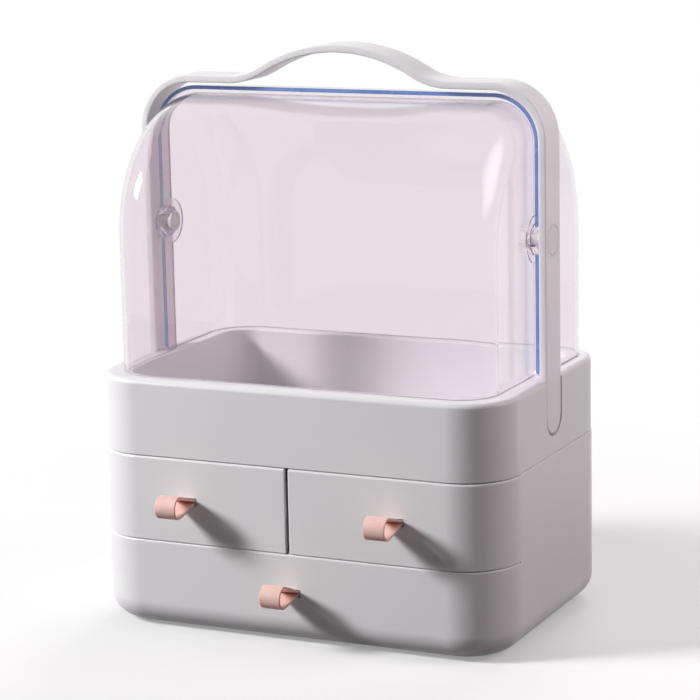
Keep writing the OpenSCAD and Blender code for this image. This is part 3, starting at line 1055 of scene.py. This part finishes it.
@dataclass(frozen=True)
class Pull:
    """A strap folded into a loop, both of whose ends run back through the drawer front."""

    body: Body  # the drawer that it belongs to
    datum: Datum
    finishes: Finishes
    lift: float  # angle by which the loop points up, in degrees
    thick: float = 1.4 * MM  # thickness of the strap
    loop_r: float = 7.2 * MM  # outer radius of the loop
    slit: float = 0.1 * MM  # the open line between the two runs
    edge_r: float = 0.5 * MM  # rounding of the strap's edges
    belly: float = 0.35 * MM  # how far the upper run swells out
    hollow: float = 0.105 * MM  # how far the lower run sinks in
    steps: int = 44  # rows round the loop
    run_steps: int = 8  # rows along each run
    bend_steps: int = 3  # rows in the bend into the slot

    def middle_line(self, reach: float, tail: float) -> tuple[Array, Array]:
        """The strap's middle line from the side, and its outward normals.

        It is an arc about the loop's middle with two tangents, which meet in the slot and run back.
        The loop's middle is reach in front of the slot and reach tan(lift) above it.

        Args:
            reach: distance from the front to the middle of the loop.
            tail: how far the ends run back behind the front.

        Returns:
            Points and normals as rows of Y and Z, with Y = 0 at the front and Z = 0 in the slot.
        """
        r, end = self.loop_r - self.thick / 2, (self.thick + self.slit) / 2
        lift = math.radians(self.lift)
        lean = math.asin((r - end) * math.cos(lift) / reach)
        first, last = math.pi / 2 - lean - lift, 1.5 * math.pi + lean - lift
        loop, loop_n = arc(-reach, reach * math.tan(lift), r, first, last, self.steps)
        share, bend = (np.linspace(0, 1, n + 1)[1:, None] for n in (self.run_steps, self.bend_steps))
        runs = []
        for sign, place, swell in ((1, 0, self.belly), (-1, -1, -self.hollow)):
            start, normal = loop[place], loop_n[place]
            swell = swell * np.sin(math.pi * share) ** 2
            line = start + (end * normal - start) * share + swell * normal
            flat = np.array([[0.0, sign]])
            bend_n = normal + (flat - normal) * bend
            bend_n /= np.linalg.norm(bend_n, axis=1, keepdims=True)
            points = np.concatenate([line, end * bend_n, [[tail, sign * end]]])
            runs.append((points, np.concatenate([np.repeat(normal[None], len(share), 0), bend_n, flat])))
        (upper, upper_n), (lower, lower_n) = runs
        return np.concatenate([upper[::-1], loop, lower]), np.concatenate([upper_n[::-1], loop_n, lower_n])

    def build(self) -> None:
        """Builds the strap, its cross-section carried along the middle line: line + normal * out."""
        node = self.body.own("pull")
        low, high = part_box(node)
        mid_x, front_y, mid_z = middle(node)[0], self.datum.front_y, middle(self.body.own("pull_clamp"))[2]
        half, h = (high.x - low.x) / 2, self.thick / 2
        line, normal = self.middle_line(front_y - low.y - self.loop_r, high.y - front_y)
        section = oblong((-half, -h), (half, h), self.edge_r, steps=5)
        along, out = section[None, :, 0], section[None, :, 1]
        points = np.stack([
            mid_x + along + 0 * line[:, :1],
            front_y + line[:, :1] + normal[:, :1] * out,
            mid_z + line[:, 1:] + normal[:, 1:] * out,
        ], -1)
        settle(Surface().tube(points).build(node + "_strap"), self.body, self.finishes.strap, node)


# ---------- the tray ----------


@dataclass(frozen=True)
class Tray:
    """The open tray: an outer skirt, a rim and an inner tub, with a slot for each leg of the handle."""

    cabinet: Cabinet  # the cabinet below it
    finishes: Finishes
    inset: float = 0.4 * MM  # how far the tray is set in from the cabinet
    foot_r: float = 0.4 * MM  # rounding of the skirt's lower edge
    rim_r: float = 3.4 * MM  # rounding of the rim's outer edge
    lip_r: float = 1.2 * MM  # rounding of the edge into the tub
    tub_half_w: float = 121.6 * MM  # half the inner width of the tub
    tub_half_d: float = 79.2 * MM  # half its inner depth
    tub_corner_r: float = 19.3 * MM  # radius of its upright corners
    tub_r: float = 8 * MM  # radius along its bottom edge
    tub_wall: float = 2 * MM  # thickness of its wall
    leg_gap: float = 0.8 * MM  # gap round each leg
    leg_foot_gap: float = 1.5 * MM  # gap below its foot
    pocket_back: float = 0.3 * MM  # distance from the inside of the leg to the back of its pocket
    edge_r: float = 0.35 * MM  # rounding of the slots' edges

    def skin(self) -> Surface:
        """One closed skin: up the skirt, over the rim, down the tub, and back along the underside.

        Returns:
            The surface.
        """
        d, wall, t, tub_wall = self.cabinet.datum, self.cabinet.wall, self.inset, self.tub_wall
        outer = self.cabinet.plan.ring()
        tub = Plan(self.tub_half_w, self.tub_half_d, self.tub_corner_r, d.mid_y).ring()
        low, high, under_r = d.tray_z, d.rim_z, self.tub_r + tub_wall
        quarter = np.radians(np.linspace(0, 90, 9))

        def turned(
            path: Path, inset: float, z: float, across: float, up: float, rises: bool
        ) -> list[tuple[Path, float, float]]:
            """The rows of a quarter circle: one way goes by sin a, and the other by 1 - cos a.

            Args:
                path: the outline.
                inset, z: its first inset and height.
                across, up: how far the inset and the height go.
                rises: whether it sets out upright, and not level.

            Returns:
                Its rows of path, inset and height.
            """
            ways = [(1 - math.cos(a), math.sin(a)) for a in quarter]
            return [
                (path, inset + across * s, z + up * c) for s, c in (w if rises else w[::-1] for w in ways)
            ]

        underside = [(outer, t + wall, low), (outer, t + wall, high - wall), (tub, -tub_wall, high - wall)]
        underside += turned(tub, -tub_wall, low + under_r, under_r, -under_r, True)
        return Surface().loft(
            underside[::-1]
            + turned(outer, t + self.foot_r, low, -self.foot_r, self.foot_r, False)
            + turned(outer, t, high - self.rim_r, self.rim_r, self.rim_r, True)
            + turned(tub, -self.lip_r, high, self.lip_r, -self.lip_r, False)
            + turned(tub, 0, low + tub_wall + self.tub_r, self.tub_r, -self.tub_r, True)
        )

    def build(self) -> None:
        """Builds the tray, adds the pockets behind the legs and cuts the slots for the legs."""
        obj = self.skin().build("top_tray_skin")
        d, wall = self.cabinet.datum, self.cabinet.wall
        handle_low, handle_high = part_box("carry_handle")
        slot_r = (handle_high.y - handle_low.y) / 2 + self.leg_gap
        foot_z, back_x = handle_low.z - self.leg_foot_gap, handle_high.x - HANDLE_THICK - self.pocket_back
        half, round_r = slot_r + wall, 0.999 * slot_r  # just short of a half circle
        outline = rounded([
            (-slot_r, foot_z, round_r), (slot_r, foot_z, round_r), (slot_r, d.rim_z + wall, 0),
            (-slot_r, d.rim_z + wall, 0),
        ], steps=24) + np.array([d.mid_y, 0])
        for side in Side:
            sign = side.value
            x0, x1 = sorted((sign * (back_x - wall), sign * (d.half_w - self.inset - wall / 2)))
            pocket = block((x0, d.mid_y - half, foot_z - wall), (x1, d.mid_y + half, d.rim_z - wall / 2))
            combine(obj, pocket.build("pocket_tool"), Join.ADD)
            rows = [np.insert(outline, 0, sign * x, 1) for x in (back_x, d.half_w + wall)]
            combine(obj, Surface().tube(np.stack(rows)).build("leg_slot_tool"), Join.CUT)
        obj = eased(obj, self.edge_r, angle=50)
        obj.data.materials.clear()
        settle(obj, Body.CABINET, self.finishes.casing, "top_tray")


# ---------- the covers ----------


@dataclass(frozen=True)
class Cover:
    """One clear cover: upright walls below the hinge line and a quarter turn above it.

    From the side its outline is a path: up to the hinge line, round it, and on over it by the lap.
    Across, the outline is set in by r (1 - cos t) while X goes on by r sin t, which rounds the edges.
    """

    node: str  # the node that it stands for
    body: Body  # what it rides on
    half: Half  # the half of the object that it covers
    datum: Datum
    finishes: Finishes
    thick: float  # wall thickness
    half_w: float  # half the outer width
    reach: float  # outer radius about the hinge line
    edge_r: float  # radius of the rounded edges
    lap: float  # how far it reaches past the hinge line
    foot_z: float  # height of its lower edge
    heel_r: float  # rounding of the lower corner on the hinge side
    boss_r: float  # radius of the boss, or of the hole for it
    steps: int = 32  # rows in each quarter
    away: float = 0.5  # how much of a cut edge's normal points back or down where it is frosted

    def stood(self, x: Array | float, flat: Array) -> Array:
        """Stands points (distance behind the hinge line, height) up in space at X."""
        y = self.datum.mid_y + self.half.value * flat[..., 0]
        return np.stack([np.broadcast_to(x, y.shape), y, flat[..., 1]], -1)

    def outline(self) -> Path:
        """The outline from the side, in (distance behind the hinge line, height).

        Returns:
            The path from the foot to the top.
        """
        z = self.datum.hinge_z
        parts = [(0, self.foot_z, 0, 0, 0), (0, z, 0, 90, self.steps)]
        if self.lap:
            parts.append((-self.lap, z, 90, 90, 0))
        return Path.of(parts, self.reach)

    def side_outline(self, edge: Array) -> Array:
        """The flat side wall's outline: the inset outline, then down the hinge side to the foot.

        The arc about the hinge starts at acos(-lap / boss_r) where the cover laps over the hinge line,
        and runs on to the same place below it.

        Args:
            edge: the inset outline, from the foot to the top.

        Returns:
            The closed outline as rows of distance behind the hinge line and height.
        """
        swing = math.acos(-self.lap / self.boss_r)
        last = -swing if self.lap else 2 * math.pi - swing
        notch = arc(0, self.datum.hinge_z, self.boss_r, swing, last, steps=24)[0]
        r = self.heel_r
        heel = arc(r - self.lap, self.foot_z + r, r, math.pi, 1.5 * math.pi, steps=8)[0]
        return np.concatenate([edge, notch, heel])

    def sheet(self) -> Piece:
        """The outer face as an open sheet, with the side walls as flat faces.

        Returns:
            The sheet, with its faces turned away from the hinge line.
        """
        path = self.outline()
        t = np.radians(np.linspace(0, 90, self.steps + 1))
        inset = self.edge_r * (1 - np.cos(t))
        x = self.half_w - self.edge_r + self.edge_r * np.sin(t)
        flat = path.at(np.concatenate([inset[::-1], inset]))
        surface = Surface().grid(self.stood(np.concatenate([-x[::-1], x]), flat))
        side = self.side_outline(path.outer(self.edge_r))
        for sign in (-1, 1):
            surface.cap(self.stood(sign * self.half_w, side))
        obj = surface.build(self.node + "_skin")
        away = per_face(obj.data, "center") - np.array(self.datum.hinge)
        if np.median(np.sum(away * per_face(obj.data, "normal"), 1)) < 0:
            obj.data.flip_normals()
        return obj

    def shell(self) -> Piece:
        """The sheet given its thickness, with its cut edges in materials of their own.

        The cut edges that face back or down are frosted and show no colour.

        Returns:
            The shell.
        """
        obj = self.sheet()
        for finish in (self.finishes.clear, self.finishes.edge, self.finishes.frosted):
            obj.data.materials.append(finish.material)
        changed(
            obj, "SOLIDIFY", thickness=self.thick, offset=-1, use_even_offset=True, use_rim=True,
            material_offset_rim=1,
        )
        mesh, normals = obj.data, per_face(obj.data, "normal")
        index = np.empty(len(normals), np.int32)
        mesh.polygons.foreach_get("material_index", index)
        index[((normals[:, 1] > self.away) | (normals[:, 2] < -self.away)) & (index == 1)] = 2
        mesh.polygons.foreach_set("material_index", index)
        return smooth(obj)


@dataclass(frozen=True)
class Covers:
    """The two clear covers and the hinge between them."""

    datum: Datum
    finishes: Finishes
    thick: float = 2.4 * MM  # wall thickness of both covers
    gap: float = 2.4 * MM  # gap between them
    edge_r: float = 29.5 * MM  # radius of the rear cover's rounded edges
    lap: float = 5.5 * MM  # how far the rear cover reaches in front of the hinge line
    rear_foot: float = 0.3 * MM  # gap between the rear cover and the rim of the tray
    heel_rs: tuple[float, float] = (4 * MM, 3 * MM)  # rounding of the rear and the front cover's heels
    cut_rs: tuple[float, float] = (0.35 * MM, 0.3 * MM)  # rounding of their cut edges
    boss_d: float = 18.6 * MM  # diameter of the bosses on the front cover
    boss_root: float = 0.9  # how deep in the side wall they start, as a share of its thickness
    boss_gap: float = 0.6 * MM  # gap round them
    flange_d: float = 29 * MM  # diameter of the flange at each boss
    flange_over: float = 0.2 * MM  # how far the flange covers the side wall
    flange_t: float = 0.8 * MM  # thickness of that flange
    pin_d: float = 8 * MM  # diameter of the hinge pins
    pin_fit: float = 0.06 * MM  # gap round the pins
    drill_over: float = 3 * MM  # how far the drill for them reaches past the wall and the flange
    drill_free: float = 0.02 * MM  # how much wider than the bore it is
    cap_d: float = 18.4 * MM  # diameter of the pins' caps
    cap_t: float = 2.2 * MM  # thickness of the caps

    def rear(self) -> None:
        """Builds the fixed rear cover."""
        d, high = self.datum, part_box("rear_cover")[1]
        cover = Cover(
            "rear_cover", Body.CABINET, Half.BACK, d, self.finishes, self.thick, half_w=high.x,
            reach=high.y - d.mid_y, edge_r=self.edge_r, lap=self.lap, foot_z=d.rim_z + self.rear_foot,
            heel_r=self.heel_rs[0], boss_r=self.boss_d / 2 + self.boss_gap,
        )
        settle(eased(cover.shell(), self.cut_rs[0], angle=60), cover.body, self.finishes.clear, cover.node)

    def front(self) -> None:
        """Builds the hinged front cover, with its bosses and the holes for the pins."""
        d, (low, high) = self.datum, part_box("front_cover")
        step = self.thick + self.gap
        half_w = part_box("rear_cover")[1].x - step
        cover = Cover(
            "front_cover", Body.FRONT_COVER, Half.FRONT, d, self.finishes, self.thick, half_w=half_w,
            reach=d.mid_y - low.y, edge_r=self.edge_r - step, lap=0.0, foot_z=low.z,
            heel_r=self.heel_rs[1], boss_r=self.flange_d / 2,
        )
        obj = cover.shell()
        inner, flange = half_w - self.boss_root * self.thick, half_w + self.flange_t
        bore, boss = self.pin_d / 2 + self.pin_fit, self.boss_d / 2
        flange_r = self.flange_d / 2 + self.flange_over
        first, last, hole = inner - self.drill_over, flange + self.drill_over, bore + self.drill_free
        drill = np.array([(first, 0.0), (first, hole), (last, hole), (last, 0.0)])
        profile = rounded([
            (inner, bore, 0.2 * MM),
            (inner, flange_r, 0.3 * MM),
            (flange, flange_r, 0.3 * MM),
            (flange, boss, 0.6 * MM),
            (high.x, boss, 0.8 * MM),
            (high.x, bore, 0.2 * MM),
        ], steps=5)
        for side in Side:
            for rows, join in ((drill, Join.CUT), (profile, Join.ADD)):
                combine(obj, Surface().lathe(rows * side.turn, d.hinge).build("boss_tool"), join)
        settle(eased(obj, self.cut_rs[1], angle=60), cover.body, self.finishes.clear, cover.node)

    def pins(self) -> None:
        """Builds the hinge pins with their flush caps, and the washers that hold them."""
        for side in Side:
            name = side.name.lower()
            low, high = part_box(name + "_hinge_pin")
            inner, outer = sorted((abs(low.x), abs(high.x)))
            pin, cap, under = self.pin_d / 2, self.cap_d / 2, outer - self.cap_t
            profile = rounded([
                (inner, 0.0, 0),
                (inner, pin, 0.4 * MM),
                (under, pin, 0.2 * MM),
                (under, cap, 0.3 * MM),
                (outer, cap, 0.35 * MM),
                (outer, 0.0, 0),
            ], steps=5)
            obj = Surface().lathe(profile * side.turn, self.datum.hinge, 96).build(name + "_hinge_pin_skin")
            settle(obj, Body.CABINET, self.finishes.casing, name + "_hinge_pin")
            redress(name + "_pin_retainer", 0.3 * MM, Body.CABINET, self.finishes.inner)

    def build(self) -> None:
        """Builds the covers and the hinge."""
        self.rear()
        self.front()
        self.pins()


# ---------- the handle ----------


@dataclass(frozen=True)
class Handle:
    """The carrying handle: one strap up both sides and over the grip."""

    covers: Covers  # the covers, for the hinge's sizes
    finishes: Finishes
    thick: float = HANDLE_THICK  # thickness of the strap
    edge_r: float = 0.9 * MM  # rounding of its long edges
    seat_r: float = 0.25 * MM  # rounding of the edges of the pins' seats
    corner_r: float = 35 * MM  # outer radius of the upper corners
    rise: float = 20.9 * MM  # height of the grip above the shoulders
    grip_r: float = 102 * MM  # radius of the strap's middle over the grip
    valley_r: float = 47 * MM  # radius of the strap's middle where the grip meets the shoulders
    cap_gap: float = 0.2 * MM  # gap round the pins' caps

    def half_line(self, outer_x: float, top_z: float, leg_z: float) -> tuple[Array, Array]:
        """The right half of the strap's middle line from the front, and its outward normals.

        It goes from the middle of the grip through the crown arc, the valley arc, the shoulder and
        the corner down to the foot. Crown and valley meet at the angle a whose cosine is
        1 - rise / (grip_r + valley_r).

        Args:
            outer_x: X of the outside of the leg.
            top_z: height of the top of the grip.
            leg_z: height of the middle of the rounded foot.

        Returns:
            Points and normals as rows of X and Z.
        """
        half, both, right = self.thick / 2, self.grip_r + self.valley_r, math.pi / 2
        top = top_z - half
        shoulder, corner = top - self.rise, self.corner_r - half
        a = math.acos(1 - self.rise / both)
        crown, crown_n = arc(0, top - self.grip_r, self.grip_r, right, right - a, steps=24)
        valley, valley_n = arc(
            both * math.sin(a), shoulder + self.valley_r, self.valley_r, 3 * right - a, 3 * right, steps=16
        )
        bend, bend_n = arc(outer_x - self.corner_r, shoulder - corner, corner, right, 0, steps=20)
        points = np.concatenate([crown, valley[1:], bend, [[outer_x - half, leg_z]]])
        return points, np.concatenate([crown_n, -valley_n[1:], bend_n, bend_n[-1:]])

    def build(self) -> None:
        """Builds the strap and cuts the seats for the hinge pins.

        In a foot the section turns about the foot's middle: a point s from the strap's middle goes to
        s cos t across and |s| sin t down, so that the end is a half disc with the same edges.
        """
        low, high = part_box("carry_handle")
        covers, h = self.covers, self.thick / 2
        mid_y, half = covers.datum.mid_y, (high.y - low.y) / 2
        line, normal = self.half_line(high.x, high.z, low.z + half)
        foot = np.radians(np.linspace(0, 90, 17))[1:]
        turn = np.concatenate([np.zeros(len(line)), foot])
        turn = np.concatenate([turn[:0:-1], turn])[:, None]
        longer = [np.concatenate([rows, np.repeat(rows[-1:], len(foot), 0)]) for rows in (line, normal)]
        line, normal = (np.concatenate([rows[:0:-1] * Side.LEFT.turn, rows]) for rows in longer)
        section = oblong((-half, -h), (half, h), self.edge_r, steps=6)
        s, out = section[None, :, 0], section[None, :, 1]
        points = np.stack([
            line[:, :1] + normal[:, :1] * out,
            mid_y + s * np.cos(turn),
            line[:, 1:] + normal[:, 1:] * out - np.abs(s) * np.sin(turn),
        ], -1)
        obj = Surface().grid(points, wrap_cols=True).build("carry_handle_skin")
        over = 1 * MM
        inner, cap_x, outer = high.x - self.thick - over, high.x - covers.cap_t, high.x + over
        bore, seat = covers.pin_d / 2 + covers.pin_fit, covers.cap_d / 2 + self.cap_gap
        profile = np.array([
            (inner, 0.0), (inner, bore), (cap_x, bore), (cap_x, seat), (outer, seat), (outer, 0.0)
        ])
        for side in Side:
            tool = Surface().lathe(profile * side.turn, covers.datum.hinge, 96).build("seat_tool")
            combine(obj, tool, Join.CUT)
        obj.data.materials.clear()
        settle(eased(obj, self.seat_r, angle=50), Body.CABINET, self.finishes.handle, "carry_handle")


# ---------- the studio ----------


def towards(turn: float, lift: float) -> Vector:
    """The direction at an angle to the right of the front and one above the horizon, in radians."""
    return Vector((math.sin(turn) * math.cos(lift), -math.cos(turn) * math.cos(lift), math.sin(lift)))


@dataclass(frozen=True)
class Lamp:
    """A soft lamp, brightest in its middle."""

    name: str
    azimuth: float  # its direction from the object, in degrees from the front towards the right
    height: float  # its angle above the horizon, in degrees
    distance: float  # how far away it is
    size: float  # its width and height
    level: float  # what a white card facing it shows from it alone
    colour: Colour  # its colour, linear
    gloss: bool = True  # whether it is seen in polished surfaces

    def soften(self, light: bpy.types.Light) -> None:
        """Grades the lamp from its middle to its edges.

        The share at the place (u, v), each from 0 to 1, is 36 u (1 - u) v (1 - v), whose mean is 1.

        Args:
            light: the lamp's data.
        """
        sheet = NodeSheet(light, "ShaderNodeOutputLight")
        parts = sheet.node("ShaderNodeSeparateXYZ")
        sheet.link(sheet.node("ShaderNodeNewGeometry").outputs["Parametric"], parts.inputs[0])
        hills = [sheet.math("MULTIPLY", part, sheet.math("SUBTRACT", 1, part)) for part in parts.outputs[:2]]
        glow = sheet.node("ShaderNodeEmission")
        sheet.link(sheet.math("MULTIPLY", sheet.math("MULTIPLY", *hills), 36), glow.inputs["Strength"])
        sheet.finish(glow)

    def hang(self, aim: Vector) -> None:
        """Hangs the lamp, facing a point.

        A card square to it shows level when the lamp's power is pi^2 distance^2 level.

        Args:
            aim: the point that it faces.
        """
        light = bpy.data.lights.new(self.name, "AREA")
        light.shape = "RECTANGLE"
        light.size = light.size_y = self.size
        light.energy = self.level * math.pi ** 2 * self.distance ** 2
        light.color = self.colour
        self.soften(light)
        lamp = placed(self.name, light)
        lamp.visible_glossy = self.gloss
        lamp.visible_transmission = False
        away = towards(math.radians(self.azimuth), math.radians(self.height))
        lamp.location = aim + away * self.distance
        lamp.rotation_euler = away.to_track_quat("Z", "Y").to_euler()


@dataclass(frozen=True)
class Studio:
    """Floor, lamps, world and camera."""

    datum: Datum
    world_level: float = 0.05  # brightness of the even light from all round
    world_colour: Colour = (1.0, 0.94, 0.965)  # its colour, linear
    bounce_colour: Colour = (0.15, 0.14, 0.145)  # what the floor throws back on the object, linear
    floor_half: float = 12.0  # half the size of the floor
    floor_colour: Colour = (0.90, 0.895, 0.90)  # the floor's colour, linear
    fade_from: float = 0.20  # distance at which the floor starts to fade into the white background
    fade_to: float = 0.62  # distance at which it is white
    glow: float = 0.3  # share of white in the floor right at the object
    bounces: int = 24  # how many walls a ray may pass
    yaw: float = 0.4377  # the camera's angle to the right of the front, in radians
    pitch: float = 0.1996  # its angle above the horizon, in radians
    roll: float = -0.0210  # its turn about its line of sight, in radians
    distance: float = 1.7084  # how far it is from the point that it looks at
    aim: tuple[float, float, float] = (-1.02 * MM, 3.66 * MM, 167.43 * MM)  # that point, from mid_y
    focal_share: float = 2669.9 / 700  # its focal length, in widths of the frame
    sensor: float = 36.0  # the width of its sensor, in millimetres

    @staticmethod
    def seen_share(sheet: NodeSheet) -> Socket:
        """1 for rays from the camera, from gloss and through clear pieces, and 0 for others.

        It is 0 as well once a ray has met a dull surface, so that nothing dull is lit by the white.

        Args:
            sheet: the node tree that uses it.

        Returns:
            The socket of the share.
        """
        rays = sheet.node("ShaderNodeLightPath").outputs
        seen = sheet.math("MAXIMUM", rays["Is Glossy Ray"], rays["Is Transmission Ray"])
        seen = sheet.math("MAXIMUM", rays["Is Camera Ray"], seen)
        return sheet.math("MULTIPLY", seen, sheet.math("LESS_THAN", rays["Diffuse Depth"], 0.5))

    def floor(self) -> None:
        """Lays a pale floor that keeps the shadow and fades to white round the object."""
        half = self.floor_half
        mesh = bpy.data.meshes.new("floor")
        mesh.from_pydata(raised(oblong((-half, -half), (half, half)), 0.0).tolist(), [], [(0, 1, 2, 3)])
        floor = placed("floor", mesh)
        sheet = NodeSheet(bpy.data.materials.new("pale_floor"))
        shader = sheet.node("ShaderNodeBsdfPrincipled", Roughness=0.9, Specular_IOR_Level=0.1)
        seen = self.seen_share(sheet)
        sheet.link(sheet.blend(seen, self.bounce_colour, self.floor_colour), shader.inputs["Base Color"])
        middle = sheet.node("ShaderNodeVectorMath", operation="LENGTH")
        sheet.link(sheet.node("ShaderNodeTexCoord").outputs["Object"], middle.inputs[0])
        fade = sheet.node(
            "ShaderNodeMapRange", interpolation_type="SMOOTHSTEP", From_Min=self.fade_from,
            From_Max=self.fade_to, To_Min=self.glow,
        )
        sheet.link(middle.outputs["Value"], fade.inputs["Value"])
        share = sheet.math("MULTIPLY", fade.outputs["Result"], seen)
        white = sheet.node("ShaderNodeEmission", Strength=1.0)
        mesh.materials.append(sheet.finish(sheet.mix(share, shader, white)))

    def world(self) -> None:
        """Sets an even grey light, seen as white."""
        sheet = NodeSheet(bpy.data.worlds.new("studio"), "ShaderNodeOutputWorld")
        dim, white = (
            sheet.node("ShaderNodeBackground", Strength=level, Color=(*colour, 1))
            for level, colour in ((self.world_level, self.world_colour), (1.0, (1, 1, 1)))
        )
        bpy.context.scene.world = sheet.finish(sheet.mix(self.seen_share(sheet), dim, white))

    def lamps(self) -> None:
        """Hangs the key on the left, a weaker warm lamp on the right, and a soft one behind."""
        aim = Vector((0, self.datum.mid_y, self.datum.rim_z))
        for lamp in (
            Lamp("key", -55, 29, distance=2.4, size=0.7, level=1.23, colour=(0.99, 0.985, 0.99)),
            Lamp("side", 99, 30, distance=0.95, size=0.7, level=0.42, colour=(1.0, 0.89, 0.92)),
            Lamp("back", 184, 30, distance=2.0, size=1.4, level=0.50, colour=(1.0, 0.97, 0.98), gloss=False),
        ):
            lamp.hang(aim)

    def camera(self) -> None:
        """Places the camera by its yaw, pitch and roll about the point that it looks at."""
        back = towards(self.yaw, self.pitch)
        right = (-back).cross(Vector((0, 0, 1))).normalized()
        up = right.cross(-back)
        c, s = math.cos(self.roll), math.sin(self.roll)
        right, up = right * c + up * s, up * c - right * s
        data = bpy.data.cameras.new("camera")
        data.sensor_width = self.sensor
        data.lens = self.sensor * self.focal_share
        data.clip_end = 100.0
        camera = placed("camera", data)
        camera.matrix_world = Matrix((right, up, back)).transposed().to_4x4()
        camera.location = Vector(self.aim) + Vector((0, self.datum.mid_y, 0)) + back * self.distance
        bpy.context.scene.camera = camera

    def build(self) -> None:
        """Sets up the studio."""
        scene = bpy.context.scene
        scene.view_settings.view_transform = "Standard"
        scene.cycles.caustics_refractive = False
        for kind in ("max_bounces", "transmission_bounces", "transparent_max_bounces"):
            setattr(scene.cycles, kind, self.bounces)
        self.floor()
        self.world()
        self.lamps()
        self.camera()


def main() -> None:
    """Builds every sub-assembly in order."""
    logging.basicConfig(level=logging.INFO, format="%(name)s: %(message)s")
    datum, finishes = Datum.from_frame(), Finishes()
    Studio(datum).build()
    cabinet = Cabinet(datum, finishes)
    cabinet.build()
    Drawer(Body.LEFT, cabinet, finishes).build()
    Drawer(Body.RIGHT, cabinet, finishes).build()
    Drawer(Body.BOTTOM, cabinet, finishes, lift=8.0).build()
    Tray(cabinet, finishes).build()
    covers = Covers(datum, finishes)
    covers.build()
    Handle(covers, finishes).build()


if __name__ == "__main__":
    main()
